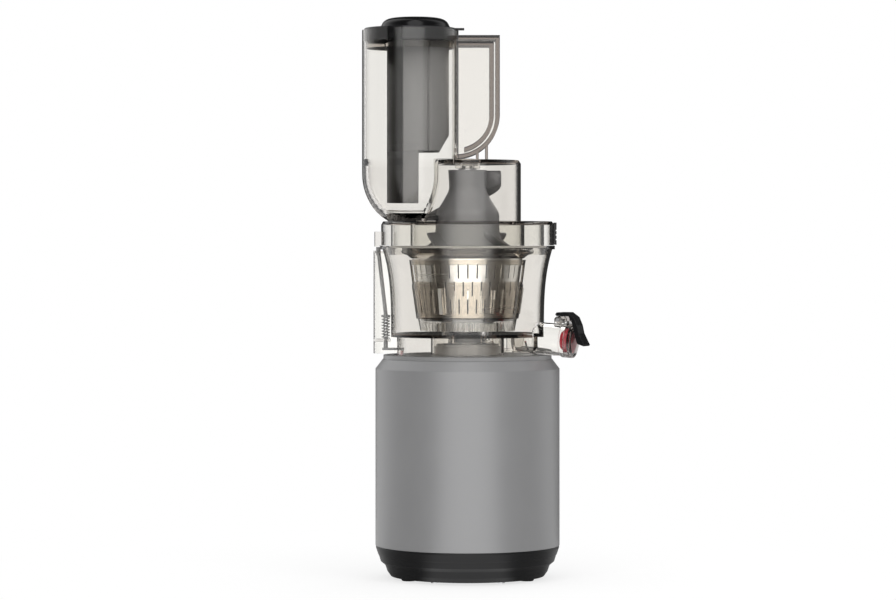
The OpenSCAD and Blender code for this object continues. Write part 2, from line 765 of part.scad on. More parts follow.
module bowl() {
    color(clear) difference() {
        union() {
            rotate_extrude() polygon(concat([[hub_bore, floor_z]], bowl_curve, bowl_inner_curve,
                [[hub_bore, floor_top]]));
            translate([0, 0, hub_low]) cylinder(r = hub_r, h = floor_top - hub_low);
            translate([0, 0, foot_z]) tube(bowl_foot_r, bowl_foot_r - 2.5, floor_z - foot_z + 0.5);
            translate([0, 0, foot_z]) tube(boss_collar_in + 2.2, boss_collar_in, floor_z - foot_z + 0.5);
            translate([0, 0, rim_z - 3.2]) tube(bowl_out(rim_z) + 1.2, bowl_out(rim_z) - bowl_wall + 0.4,
                3.2);
            for (turn = lug_turns) rotate([0, 0, turn - lug_sweep / 2]) translate([0, 0, bowl_lug_z])
                sector(bowl_out(bowl_lug_z) - 0.5, skirt_out + 0.6, lug_h, lug_sweep);
        }
        translate([0, 0, hub_low - 1]) cylinder(r = hub_bore, h = 30);
        spout_frame() translate([0, 0, 2.5]) cylinder(r = spout_bore, h = spout_len);
        difference() {
            spout_frame() cylinder(r = spout_r, h = spout_len);
            translate([0, 0, floor_z]) cylinder(r = 2 * body_r, h = 100);
        }
        difference() {
            pulp_solid(pulp_wall);
            translate([0, 0, floor_z]) cylinder(r = 2 * body_r, h = 100);
        }
        pulp_hole(floor_z - 1, floor_top + 1);
        translate([column_x - column_r, -4, foot_z - 1]) cube([40, 8, rod_foot_z + rod_lift + 6
            - foot_z]);
        idler_seat_hole();
        translate([rod_top_x, 0, column_top - 2]) cylinder(r = rod_r + 1, h = 10, $fn = small_fn);
    }
}

module idler_seat_hole() {
    rotate([0, 0, idler_turn]) translate([idler_place, 0, floor_z + 1]) cylinder(r = 2.5, h = floor_t,
        $fn = small_fn);
}

// The trough under the floor and the pipe outside the wall
module juice_spout() {
    color(clear) difference() {
        union() {
            spout_frame() cylinder(r = spout_r, h = spout_len);
            spout_frame() translate([0, 0, spout_len - 4]) cylinder(r = spout_r + 0.8, h = 4);
            rotate([0, 0, spout_turn]) for (side = [-1, 1]) hinge_ear(side);
        }
        spout_frame() translate([0, 0, 2.5]) cylinder(r = spout_bore, h = spout_len + 5);
        bowl_outer_solid();
        cap_pin_hole(cap_pin_r + 0.02);
    }
}

cap_hinge_u = spout_reach - 6.5;
cap_hinge_z = spout_z - (cap_hinge_u - spout_in) * sin(spout_fall) + spout_r + 3.6;
cap_pin_r = 1.5;
ear_place = 7.5;
ear_t = 3;
ear_r = 3;

module hinge_ear(side) {
    translate([cap_hinge_u, side * ear_place - ear_t / 2, 0]) {
        translate([0, 0, cap_hinge_z]) rotate([-90, 0, 0]) cylinder(r = ear_r, h = ear_t, $fn = small_fn);
        translate([-ear_r, 0, cap_hinge_z - 8]) cube([2 * ear_r, ear_t, 8]);
    }
}

module cap_pin_hole(r) {
    rotate([0, 0, spout_turn]) translate([cap_hinge_u, -15, cap_hinge_z]) rotate([-90, 0, 0])
        cylinder(r = r, h = 30, $fn = small_fn);
}

module cap_pin() {
    color(steel) rotate([0, 0, spout_turn]) translate([cap_hinge_u, -ear_place - ear_t / 2 - 0.6,
        cap_hinge_z]) rotate([-90, 0, 0]) cylinder(r = cap_pin_r, h = 2 * ear_place + ear_t + 1.2,
        $fn = small_fn);
}

// A half-round hollow column that hugs the bowl and guards the rod
module rod_column() {
    color(clear) difference() {
        union() {
            translate([column_x, 0, column_low]) cylinder(r = column_r, h = column_top - column_low);
            translate([column_x, -column_r, column_low]) cube([12, 2 * column_r, column_top - column_low]);
        }
        difference() {
            union() {
                translate([column_x, 0, 0]) cylinder(r = column_r - column_wall, h = column_top - 2);
                translate([column_x, -column_r + column_wall, 0]) cube([30, 2 * (column_r - column_wall),
                    column_top - 2]);
            }
            translate([column_x - column_r, -column_r, spring_low - 2])
                cube([column_r + 6, 2 * column_r, 2]);
        }
        translate([rod_x, 0, 0]) cylinder(r = rod_r + 0.4, h = rod_bend_z, $fn = small_fn);
        translate([rod_top_x, 0, column_top - 10]) cylinder(r = rod_r + 0.7, h = 20, $fn = small_fn);
        bowl_outer_solid();
        translate([0, 0, foot_z - 1]) cylinder(r = bowl_foot_r, h = floor_z - foot_z + 2);
        rotate_extrude() polygon([[0, column_low - 20], [body_r + 20, column_low - 20],
            [body_r + 20, column_low - 2], [top_r + 0.6, column_low]]);
    }
}

spring_low = rod_foot_z + rod_lift + 7;
spring_top = rod_bend_z - 3.2;
spring_r = 3.3;
spring_wire = 0.55;
spring_turns = 7;
spring_sides = 6;
spring_steps = 14;

// Coil swept along a helix
function coil_point(i, k) =
    let (a = 360 * i / spring_steps, b = 360 * k / spring_sides,
        rise = (spring_top - spring_low - 2 * spring_wire) * i / (spring_turns * spring_steps),
        r = spring_r + spring_wire * cos(b))
    [r * cos(a), r * sin(a), rise + spring_wire * sin(b)];

module sweep(rings, sides, points) {
    body = [for (i = [0 : rings - 2], k = [0 : sides - 1])
        [i * sides + k, i * sides + (k + 1) % sides, (i + 1) * sides + (k + 1) % sides,
            (i + 1) * sides + k]];
    first = [for (k = [sides - 1 : -1 : 0]) k];
    last = [for (k = [0 : sides - 1]) (rings - 1) * sides + k];
    polyhedron(points = points, faces = concat([first], body, [last]));
}

module rod_spring() {
    rings = spring_turns * spring_steps + 1;
    color(steel) translate([rod_x, 0, spring_low + spring_wire])
        sweep(rings, spring_sides, [for (i = [0 : rings - 1], k = [0 : spring_sides - 1])
            coil_point(i, k)]);
}

// The rod leans outwards above its spring collar to follow the bowl's flare
module safety_rod() {
    lean_h = column_top + 1.5 - rod_bend_z;
    lean = atan2(rod_x - rod_top_x, lean_h);
    color(mid_grey) {
        translate([rod_x, 0, rod_foot_z]) cylinder(r = rod_r, h = rod_bend_z - rod_foot_z, $fn = small_fn);
        translate([rod_x, 0, rod_bend_z - 3]) cylinder(r = 4, h = 2, $fn = small_fn);
        translate([rod_x, 0, rod_bend_z - 0.5]) rotate([0, -lean, 0])
            cylinder(r = rod_r - 0.2, h = lean_h / cos(lean) - 2, $fn = small_fn);
        translate([rod_top_x, 0, column_top - 4]) cylinder(r = rod_r + 0.1, h = 7.3, $fn = small_fn);
        translate([rod_x - 3, -2.5, rod_foot_z]) cube([plunger_x + 3 - rod_x + 3, 5, 2]);
    }
}

module pulp_duct() {
    color(clear) difference() {
        pulp_solid(pulp_wall);
        pulp_solid(0);
        pulp_hole(floor_z - 5, floor_z + 1);
        pulp_frame() translate([body_r + 3.5, -pulp_w / 2, shoulder_z - 12])
            cube([pulp_reach - pulp_wall - body_r - 3.5, pulp_w, 14]);
        translate([0, 0, floor_z]) cylinder(r = 2 * body_r, h = 100);
    }
}

// Soft red packing that closes the passage's cleaning port
module pulp_seal() {
    color(red) pulp_frame() translate([0, -pulp_w / 2 + 0.3, 0]) {
        translate([boss_r + 9, 0, foot_z + 3.1]) cube([16, pulp_w - 0.6, 1.6]);
    }
}

module shaft_seal() {
    color(red) translate([0, 0, floor_top]) rotate_extrude()
        polygon([[hub_bore + 0.15, 0], [hub_r - 1, 0], [hub_r - 1, 0.8], [hub_bore + 1.6, 1.9],
            [hub_bore + 0.15, 1.9]]);
}

module idler_pin() {
    color(steel) rotate([0, 0, idler_turn]) translate([idler_place, 0, floor_z + 1]) {
        cylinder(r = 2.48, h = gear_z + gear_w + 0.6 - floor_z - 1, $fn = small_fn);
        translate([0, 0, floor_top - floor_z - 1]) cylinder(r = 4.5, h = gear_z - floor_top - 0.3,
            $fn = small_fn);
    }
}

// Strainer

module strainer_frame() {
    color(brown_grey) difference() {
        union() {
            rotate_extrude() polygon([[drum_out(drum_top) - drum_t, drum_top], [drum_top_r + 1.2, drum_top],
                [flange_r - 6, drum_top + 2.5], [flange_r - 0.8, flange_top - 3.5],
                [flange_r, flange_top - 2], [flange_r - 1.2, flange_top - 0.4], [flange_r - 3, flange_top],
                [drum_top_r + 1, flange_top], [drum_out(drum_top) - drum_t, flange_top - 4]]);
            translate([0, 0, strainer_low]) cylinder(r = drum_low_r - 0.02, h = strainer_floor_t);
            translate([0, 0, floor_top + 0.2]) rotate([0, 0, idler_turn + 30])
                sector(hole_r + 2.6, hole_r, strainer_low - floor_top, 300);
            pulp_frame() translate([pulp_in - 1.2, -8.2, floor_top + 0.2])
                cube([pulp_hole_out - pulp_in + 2.4, 16.4, strainer_low - floor_top]);
        }
        translate([0, 0, floor_top - 1]) cylinder(r = hole_r, h = 40);
        pulp_hole(floor_top - 1, strainer_low + 10);
    }
}

slit_rows = 3;
slit_w = 1.1;

module strainer_drum() {
    low = strainer_low + strainer_floor_t;
    slit_h = (drum_top - low - 6) / slit_rows - 3;
    color(steel) difference() {
        rotate_extrude() polygon([[drum_out(low) - drum_t, low], [drum_out(low), low],
            [drum_top_r, drum_top], [drum_top_r - drum_t, drum_top]]);
        for (row = [0 : slit_rows - 1], i = [0 : drum_slits - 1])
            rotate([0, 0, 360 / drum_slits * (i + 0.5 * row)])
            translate([drum_low_r - 5, -slit_w / 2, low + 4 + row * (slit_h + 3)])
            cube([20, slit_w, slit_h]);
    }
}

// Drive of the spinning brush

module idler_gear() {
    // A tooth of the idler points outwards, into the ring gear's gap
    color([0.9, 0.9, 0.88]) rotate([0, 0, idler_turn]) translate([idler_place, 0, gear_z])
        difference() {
            gear(idler_teeth, brush_tooth, gear_w);
            translate([0, 0, -1]) cylinder(r = 2.48 + run_gap, h = gear_w + 2, $fn = small_fn);
        }
}

module brush_ring_gear() {
    tooth_top = gear_z + gear_w;
    color(clear) difference() {
        rotate_extrude() polygon([[ring_pitch - 3, gear_z], [ring_out, gear_z],
            [ring_out + 2, band_low], [drum_out(band_low) + 1.0, band_low],
            [drum_out(strainer_low) + 0.8, tooth_top], [ring_pitch - 3, tooth_top]]);
        rotate([0, 0, idler_turn]) translate([0, 0, gear_z - 1])
            inner_gear_cut(ring_teeth, brush_tooth, gear_w + 2);
    }
}

brush_t = 2.3;
window_low = band_top + 2;
brush_windows = 6;

function brush_in(z) = drum_out(z) + 1.6;

module brush_frame() {
    upper = brush_top - 4.5;
    color(brown_grey) difference() {
        union() {
            rotate_extrude() polygon([[brush_in(band_low) - 0.6, band_low],
                [brush_in(band_low) + brush_t, band_low], [brush_in(band_top) + brush_t, band_top],
                [brush_in(band_top), band_top]]);
            rotate_extrude() polygon([[brush_in(band_top), band_top - 1],
                [brush_in(band_top) + brush_t - 0.9, band_top - 1],
                [brush_in(brush_top) + 1.4, brush_top], [brush_in(brush_top), brush_top]]);
        }
        for (i = [0 : brush_windows - 1]) rotate([0, 0, 360 / brush_windows * i + 30])
            window_cut(window_low, upper, 42, 60);
        for (i = [0 : wiper_count - 1]) rotate([0, 0, wiper_turn(i)])
            translate([drum_low_r - 2, -1.6, band_low + 4]) cube([20, 3.2, band_top - band_low - 7]);
        for (i = [0 : band_slots - 1]) if (i % (band_slots / wiper_count) != 0)
            rotate([0, 0, 360 / band_slots * i]) translate([drum_low_r - 2, -0.7, band_low + 5])
            cube([20, 1.4, band_top - band_low - 10]);
    }
}

band_slots = 24;
function wiper_turn(i) = 360 / wiper_count * i;

// Sector-shaped opening between two heights
module window_cut(z0, z1, sweep, out) {
    rotate([0, 0, -sweep / 2]) translate([0, 0, z0]) sector(out, 20, z1 - z0, sweep);
}

// Silicone blades that sit in the band's slots and wipe the drum
module brush_wipers() {
    color([0.80, 0.78, 0.74]) for (i = [0 : wiper_count - 1]) rotate([0, 0, wiper_turn(i)])
        rotate([90, 0, 0]) translate([0, 0, -1.5]) linear_extrude(height = 3)
        polygon([[drum_out(band_low + 4.2) + 0.5, band_low + 4.2],
            [brush_in(band_low + 4.2) + brush_t + 0.8, band_low + 4.2],
            [brush_in(band_top - 3.2) + brush_t + 0.8, band_top - 3.2],
            [drum_out(band_top - 3.2) + 0.5, band_top - 3.2]]);
}

// Auger

core_top_r = 16;
wing_low = lid_top + 0.8;
wing_h = 7;
ridge_top = lid_under - 5;

// Core radius of the auger at height z
core_points = [[auger_low, drum_out(auger_low) - 5.4], [auger_low + 30, drum_out(auger_low + 30) - 9],
    [drum_top, drum_out(drum_top) - 15], [ridge_top, 28], [wing_low + wing_h, 28],
    [wing_low + wing_h + 9, 22], [chamber_top - 26, core_top_r], [auger_top, core_top_r + 1]];
function core_r(z) = lookup(z, core_points);

module auger() {
    color(mid_grey) difference() {
        union() {
            rotate_extrude() polygon(concat([[0, auger_low]],
                [for (p = core_points) [p[1], p[0]]], [[0, auger_top]]));
            main_flight();
            for (i = [0 : ridge_count - 1]) rotate([0, 0, 360 / ridge_count * i]) pressing_ridge();
            translate([0, 0, gear_z - 0.3]) cylinder(r = spindle_r + 1.5, h = auger_low - gear_z + 1);
            translate([0, 0, hub_low + 0.6]) cylinder(r = spindle_r, h = auger_low - hub_low);
        }
        translate([0, 0, hub_low - 1]) hex_prism(hex_flats + hex_play, hex_top + 3 - hub_low);
        translate([0, 0, auger_top - 14]) cylinder(r = pin_r, h = 20);
        translate([0, 0, gear_z]) tube(40, spindle_r + 0.02, gear_w);
    }
}

// Blade with four corners a ring, from radius a little inside the core out to the tip
function blade_ring(a, z, r_in, r_out, t_in, t_out, dip) = [
    [r_in * cos(a), r_in * sin(a), z - t_in],
    [r_out * cos(a), r_out * sin(a), z - dip - t_out],
    [r_out * cos(a), r_out * sin(a), z - dip],
    [r_in * cos(a), r_in * sin(a), z]];

flight_steps = 30;
flight_turn = 163;
flight_sweep = 168;
flight_low = wing_low + wing_h + 2;
flight_top_r = 29.5;

// The main flight climbs clockwise from the cutter wing, draws in and grows deeper towards its end.
// Its rings run from the top down, so that the faces look outwards
module main_flight() {
    top = auger_top - 0.5;
    points = [for (i = [flight_steps : -1 : 0]) let (t = i / flight_steps,
            z = flight_low + (top - flight_low) * t, a = flight_turn - flight_sweep * t,
            tip = flight_r - (flight_r - flight_top_r) * pow(t, 0.8))
        each blade_ring(a, z, core_top_r - 5.3, tip, 6 + 12 * t, 4 + 8 * t, 2 * (1 - t))];
    sweep(flight_steps + 1, 4, points);
}

ridge_steps = 22;
ridge_sweep = 150;

// A pressing ridge climbs the lower cone close to the strainer's inside, with the flight's hand
module pressing_ridge() {
    low = auger_low + 0.5;
    top = ridge_top - 1;
    points = [for (i = [ridge_steps : -1 : 0]) let (t = i / ridge_steps,
            z = low + 5 + (top - low - 5) * t, a = -ridge_sweep * t,
            wall = min(drum_out(min(z, drum_top)) - drum_t - 0.9, drum_top_r - 2))
        each blade_ring(a, z, core_r(z) - 4, wall - max(0, (t - 0.8) * 30), 5, 2.5, 1)];
    sweep(ridge_steps + 1, 4, points);
}

module auger_gear() {
    // A gap of this gear faces the idler
    color([0.9, 0.9, 0.88]) translate([0, 0, gear_z]) difference() {
        rotate([0, 0, idler_turn + 180 / auger_teeth]) gear(auger_teeth, brush_tooth, gear_w);
        translate([0, 0, -1]) cylinder(r = spindle_r + 0.02, h = gear_w + 2);
    }
}

wing_turn = 165;
wing_sweep = 40;

// Black cutting wing at the lower end of the main flight
module cutter_wing() {
    color(black) translate([0, 0, wing_low]) rotate([0, 0, wing_turn])
        difference() {
            sector(flight_r, core_r(wing_low) + 0.1, wing_h - 1, wing_sweep);
            rotate([0, 0, wing_sweep]) translate([0, -14, wing_h - 1]) rotate([-8, 0, 0])
                cube([2 * flight_r, 15, wing_h]);
        }
}

module auger_pin() {
    color(steel) translate([0, 0, auger_top - 14]) {
        cylinder(r = pin_r - 0.01, h = pin_top - auger_top + 14);
        translate([0, 0, 14]) cylinder(r = pin_r + 3, h = 1.2);
    }
}

// Cap of the juice spout

cap_u = spout_reach + 0.4;
cap_centre_z = spout_end_z;
cap_t = 5;

module in_spout() {
    rotate([0, 0, spout_turn]) children();
}

module cap_body() {
    color([0.72, 0.72, 0.73]) difference() {
        union() {
            spout_frame() translate([0, 0, spout_len + 0.4]) {
                cylinder(r = spout_r + 0.8, h = cap_t);
                translate([0, 0, cap_t]) cylinder(r1 = spout_r - 0.6, r2 = spout_r - 3, h = 1.2);
            }
            in_spout() translate([cap_hinge_u, -ear_place + ear_t / 2 + 0.3, 0]) {
                translate([0, 0, cap_hinge_z]) rotate([-90, 0, 0]) cylinder(r = 3.2,
                    h = 2 * ear_place - ear_t - 0.6, $fn = small_fn);
                translate([0, 0, cap_hinge_z - 1.2]) cube([cap_u - cap_hinge_u + 2.4,
                    2 * ear_place - ear_t - 0.6, 4.4]);
                translate([cap_u - cap_hinge_u + 0.2, 0, cap_centre_z + 6]) cube([cap_t - 2.4,
                    2 * ear_place - ear_t - 0.6, cap_hinge_z - cap_centre_z - 4]);
            }
        }
        cap_pin_hole(cap_pin_r + run_gap);
        spout_frame() cylinder(r = spout_r + 1.2, h = spout_len + 0.38);
        spout_frame() translate([0, 0, spout_len]) cylinder(r = spout_bore - 1, h = 2.4);
    }
}

// Lever that lies on the cap's arm, bends over its front and ends in a finger tail
module cap_lever() {
    w = 2 * ear_place - ear_t + 3;
    z = cap_hinge_z + 3.3;
    u = cap_u + cap_t + 0.6;
    color(black) in_spout() translate([0, -w / 2, 0]) rotate([90, 0, 0]) mirror([0, 0, 1])
        linear_extrude(height = w) polygon([[cap_hinge_u - 1.5, z], [cap_hinge_u - 2.6, z + 1.5],
            [cap_hinge_u - 1.5, z + 3.1], [cap_hinge_u, z + 3.3], [u - 4, z + 3.3], [u + 2, z - 1],
            [u + 5, z - 8], [u + 6.5, z - 15], [u + 10, z - 22], [u + 11.6, z - 25], [u + 10.8, z - 26],
            [u + 5, z - 24], [u + 2.8, z - 17], [u + 0.2, z - 6], [u - 3, z]]);
}

module cap_seal() {
    color(red) spout_frame() translate([0, 0, spout_len - 5]) difference() {
        union() {
            cylinder(r1 = spout_bore - 4, r2 = spout_bore - 0.9, h = 5.0);
            translate([0, 0, 4.9]) cylinder(r = spout_bore - 1.05, h = 2.45);
        }
        translate([0, 0, -1]) cylinder(r = spout_bore - 6, h = 4);
    }
}

// Hopper

strainer_ring_r = drum_top_r - 1;

module lid_plate() {
    color(clear) {
        rotate_extrude() {
            polygon([[lid_hole, lid_under], [lid_r - 1.2, lid_under], [lid_r - 0.6, lid_under + 1],
                [lid_r - 1.6, lid_top], [lid_hole, lid_top]]);
            translate([lid_r - 2.6, lid_low]) square([2.6, lid_under - lid_low + 0.5]);
            translate([skirt_out - 2.2, lug_low]) square([2.2, lid_under - lug_low + 0.5]);
            translate([strainer_ring_r, flange_top + seat_gap])
                square([2.6, lid_under - flange_top - seat_gap + 0.5]);
        }
        for (turn = lug_turns) rotate([0, 0, turn - lug_sweep / 2]) translate([0, 0, lug_low])
            sector(skirt_out + 2.2, skirt_out - 0.5, lug_h, lug_sweep);
        cam_lug();
    }
}

lug_low = bowl_lug_z - lug_h - 0.4;

// Lug that presses the interlock rod while the lid is locked
module cam_lug() {
    reach = rod_r + 1.5 - rod_top_x;
    low = rod_rest_top + 0.5;
    rotate([0, 0, 175]) {
        translate([0, 0, low]) sector(reach, bowl_out(rim_z) + 1.6, lid_top - 9 - low, 10);
        translate([0, 0, lid_low + 0.2]) sector(reach, lid_r - 1, lid_top - 9.2 - lid_low, 10);
    }
}

rod_rest_top = column_top + 3.3;

module lock_tab() {
    color(black) rotate([0, 0, -6]) translate([0, 0, lid_low + 0.5]) difference() {
        sector(lid_r + 2.4, lid_r + 0.05, lid_top - lid_low - 1.5, 12);
        for (z = [4, 8, 12]) translate([0, 0, z]) rotate([0, 0, -1]) sector(lid_r + 4, lid_r + 1.7, 1.2,
            14);
    }
}

// Radius of the feed pocket's rounded bottom, an ellipse below pocket_z
pocket_steps = 10;
function pocket_curve(a, b) = [for (i = [0 : pocket_steps])
    let (d = (pocket_z - lid_top) * i / pocket_steps)
    [a * sqrt(max(0.01, 1 - pow(d / b, 2))), pocket_z - d]];
function reversed(list) = [for (i = [len(list) - 1 : -1 : 0]) list[i]];

module pocket_outer() {
    translate([-tube_offset, 0, 0]) rotate_extrude()
        polygon(concat([[0, tube_top - 1], [tube_r, tube_top - 1]], pocket_curve(tube_r, pocket_drop),
            [[0, lid_top]]));
}

// Inside of the tube: a rim step, the straight bore, and a thicker pocket below
module tube_inside() {
    translate([-tube_offset, 0, 0]) rotate_extrude()
        polygon(concat([[0, tube_top + 1], [rim_in, tube_top + 1], [rim_in, tube_top - rim_step],
            [tube_in, tube_top - rim_step], [tube_in, chamber_top + 1],
            [tube_in - 1, chamber_top - 1.5], [tube_r - pocket_wall, chamber_top - 5]],
            [for (p = pocket_curve(tube_r - pocket_wall, pocket_drop - 6)) if (p[1] > lid_top + 7) p],
            [[0, lid_top + 7]]));
}

module chamber_place() {
    translate([chamber_shift, 0, 0]) children();
}

module auger_chamber() {
    color(clear) difference() {
        union() {
            chamber_place() translate([0, 0, lid_top]) cylinder(r = chamber_r, h = chamber_h - 3);
            chamber_place() translate([0, 0, chamber_top - 3]) cylinder(r1 = chamber_r,
                r2 = chamber_r - 2, h = 3);
        }
        chamber_place() translate([0, 0, lid_top - 1]) cylinder(r = chamber_in, h = chamber_h
            - chamber_wall + 1);
        tube_inside();
        translate([0, 0, chamber_top - 12]) cylinder(r = bush_r, h = 20);
    }
}

module feed_tube() {
    color(clear) difference() {
        union() {
            pocket_outer();
            translate([-tube_offset, 0, tube_top - 1]) cylinder(r = tube_r, h = 1);
        }
        tube_inside();
        chamber_place() translate([0, 0, lid_top - 1]) cylinder(r = chamber_r + 0.03, h = chamber_h + 1.03);
    }
}

grip_top = tube_top - 5.5;
grip_side_h = 69.5;
grip_curve_z = grip_top - grip_side_h;
grip_x0 = -tube_offset + tube_r - 2;
grip_x1 = -tube_offset + tube_r + grip_out;
grip_wall = 3.5;
grip_rib_in = 5.2;
grip_rib_t = 3.6;

// Side outline of the grip: straight down, then a quarter round back to the tube
module grip_outline(inset) {
    r = grip_x1 - grip_x0 - inset;
    intersection() {
        union() {
            translate([grip_x0, grip_curve_z]) circle(r = r);
            translate([grip_x0, grip_curve_z]) square([r, grip_top - inset - grip_curve_z]);
        }
        translate([grip_x0, grip_curve_z - r]) square([r, grip_top - inset - grip_curve_z + r]);
    }
}

strut_places = [7.5, 15.6];
strut_t = 2.2;

// Two ribs stand on the auger chamber and carry the grip's curved bottom
module grip_box() {
    color(clear) difference() {
        union() {
            rotate([90, 0, 0]) translate([0, 0, -grip_w / 2]) linear_extrude(height = grip_w)
                grip_outline(0);
            for (x = strut_places) translate([x, -grip_w / 2 + grip_wall, chamber_top])
                cube([strut_t, grip_w - 2 * grip_wall, grip_curve_z - chamber_top - 10]);
        }
        rotate([90, 0, 0]) translate([0, 0, -grip_w / 2 + grip_wall]) linear_extrude(
            height = grip_w - 2 * grip_wall) difference() {
                grip_outline(grip_wall);
                grip_rib();
            }
        translate([-tube_offset, 0, lid_top]) cylinder(r = tube_r + 0.03, h = 2 * tube_h);
        chamber_place() translate([0, 0, lid_top]) cylinder(r = chamber_r + 2, h = chamber_h);
    }
}

// Inner rib that follows the outline and ends in a free curl
module grip_rib() {
    difference() {
        grip_outline(grip_rib_in);
        grip_outline(grip_rib_in + grip_rib_t);
        translate([grip_x0 - 1, grip_curve_z - grip_side_h]) square([8, grip_side_h + 2]);
    }
}

module lid_gasket() {
    color([0.75, 0.74, 0.72]) translate([0, 0, bowl_lug_z + lug_h + 0.4]) rotate_extrude()
        polygon([[skirt_out + 0.02, 0], [bowl_out(bowl_lug_z) - bowl_wall - 0.1, 0.4],
            [bowl_out(bowl_lug_z) - bowl_wall + 0.1, 1.4], [skirt_out + 0.02, 2]]);
}

module top_bush() {
    color([0.2, 0.2, 0.21]) difference() {
        union() {
            translate([0, 0, chamber_top - 7]) cylinder(r = bush_r - 0.02, h = 7);
            translate([0, 0, chamber_top - 0.5]) cylinder(r = bush_r - 4.5, h = 2);
        }
        translate([0, 0, chamber_top - 8]) cylinder(r = pin_r + run_gap, h = 6);
    }
}

// Pusher

module pusher_cap() {
    dome = [for (i = [0 : 10]) let (a = 9 * i)
        [31 * pow(cos(a), 0.35), pusher_dome_h * sin(a)]];
    color(black) {
        translate([-tube_offset, 0, flange_low]) cylinder(r = pusher_flange_r, h = flange_h);
        translate([pusher_x - 2.4, 0, flange_low + flange_h]) rotate_extrude()
            polygon(concat([[0, 0]], [for (p = dome) [max(p[0], 0), p[1]]]));
        translate([-tube_offset + tube_r - 4, -5, tube_top + 0.3]) cube([9, 10, flange_low + flange_h
            - tube_top - 0.3]);
    }
}

module pusher_ring() {
    color([0.7, 0.69, 0.66]) translate([-tube_offset, 0, flange_low - 6]) difference() {
        cylinder(r = tube_in - 0.5, h = 6);
        translate([pusher_x + tube_offset, 0, -1]) cylinder(r = pusher_r, h = 8);
    }
}

module pusher_stem() {
    wall = 2.5;
    color([0.40, 0.40, 0.41]) difference() {
        translate([pusher_x, 0, stem_long_z]) cylinder(r = pusher_r - 0.02, h = flange_low - stem_long_z);
        translate([pusher_x, 0, stem_short_z + wall]) cylinder(r = pusher_r - wall,
            h = flange_low - stem_short_z);
        translate([stem_split_x, -2 * pusher_r, stem_long_z - 1])
            cube([3 * pusher_r, 4 * pusher_r, stem_short_z - stem_long_z + 1]);
        translate([pusher_x + pusher_r - 8, -2 * pusher_r, stem_short_z]) rotate([0, 60, 0])
            translate([0, 0, -5]) cube([14, 4 * pusher_r, 2 * pusher_r]);
    }
}

body_shell();
base_skirt();
bottom_plate();
feet();
bottom_screws();
top_deck();
drive_boss();
motor_stator();
motor_bracket();
motor_mounts();
gearbox_base();
gearbox_cover();
shaft_bearings();
control_board();
rocker_frame();
safety_switch();
cord_inlet();
rotor_core();
motor_shaft();
cooling_fan();
lay_gear();
lay_pinion();
output_gear();
drive_shaft();
rocker_button();
switch_plunger();
bowl();
juice_spout();
rod_column();
rod_spring();
pulp_duct();
pulp_seal();
shaft_seal();
idler_pin();
cap_pin();
strainer_frame();
strainer_drum();
safety_rod();
idler_gear();
brush_frame();
brush_ring_gear();
brush_wipers();
auger();
auger_gear();
cutter_wing();
auger_pin();
cap_body();
cap_lever();
cap_seal();
lid_plate();
auger_chamber();
feed_tube();
grip_box();
lock_tab();
lid_gasket();
top_bush();
pusher_cap();
pusher_stem();
pusher_ring();
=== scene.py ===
"""Looks of an upright slow juicer, laid out as an add-on and run as a script."""
import json
import math

import bmesh
import bpy
import numpy as np
from bpy.props import FloatProperty, FloatVectorProperty, IntProperty, PointerProperty
from bpy.types import Operator, Panel, PropertyGroup
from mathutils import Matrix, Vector


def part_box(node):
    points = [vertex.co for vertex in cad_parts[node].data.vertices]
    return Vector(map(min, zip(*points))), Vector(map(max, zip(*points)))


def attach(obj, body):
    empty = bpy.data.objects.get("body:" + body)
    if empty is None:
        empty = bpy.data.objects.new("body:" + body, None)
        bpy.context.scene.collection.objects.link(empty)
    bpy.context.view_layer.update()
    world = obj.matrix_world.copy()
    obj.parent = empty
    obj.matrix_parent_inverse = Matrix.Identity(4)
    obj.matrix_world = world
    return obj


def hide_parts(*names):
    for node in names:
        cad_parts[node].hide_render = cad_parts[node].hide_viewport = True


bl_info = {
    "name": "Slow juicer looks",
    "version": (1, 0, 0),
    "blender": (4, 5, 0),
    "location": "View3D > Sidebar > Juicer",
    "description": "Dresses the packed slow juicer with its finishes, fine pieces and studio",
    "category": "Object",
}

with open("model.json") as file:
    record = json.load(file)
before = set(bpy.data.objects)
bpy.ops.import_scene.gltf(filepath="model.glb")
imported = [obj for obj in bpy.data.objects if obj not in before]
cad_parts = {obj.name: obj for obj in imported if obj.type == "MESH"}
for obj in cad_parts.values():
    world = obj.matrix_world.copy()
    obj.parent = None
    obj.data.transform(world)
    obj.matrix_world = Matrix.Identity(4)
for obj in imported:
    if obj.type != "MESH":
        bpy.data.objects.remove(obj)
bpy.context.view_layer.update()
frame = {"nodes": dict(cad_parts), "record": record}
NODES = frame["nodes"]
SLOT_OF = {row["node"]: row["material_slot"] for row in frame["record"]["subparts"]}
MM = 0.001

# Nodes whose finish isn't the one that their slot in the record names
OWN_FINISH = {
    "bowl": "bowl_clear",
    "auger_chamber": "bowl_clear",
    "pusher_ring": "ring_clear",
    "top_bush": "smoky_clear",
    "shaft_seal": "black_rubber",
    "cap_body": "cap_clear",
    "top_deck": "rod_grey",
    "cutter_wing": "black_plastic",
    "grip_box": "grip_clear",
    "brush_ring_gear": "gear_clear",
    "drive_boss": "boss_grey",
}
# Every finish by its name, once it is made
FINISHES = {}

# Light that mirrored rays meet: a direction round the object in degrees, with 0 at its right and
# 90 behind it, and the level of light from there
SOFT_BOXES = ((-180, 0.22), (-160, 0.08), (-130, 0.08), (-118, 1.95), (-62, 1.95), (-50, 0.15),
              (-4, 0.12), (20, 0.8), (40, 0.9), (50, 0.04), (110, 0.04), (120, 1.0),
              (150, 1.0), (180, 0.22))

# Pusher, left to right in metres: the right edge of the painted dark reflection on stem and
# flange, where that painted reflection starts on the flange, and half the width over which it
# fades into the plastic's own colour
DARK_REFLECTION_EDGE = -0.0563
DARK_REFLECTION_START = -0.070
DARK_REFLECTION_BLEND = 0.00075
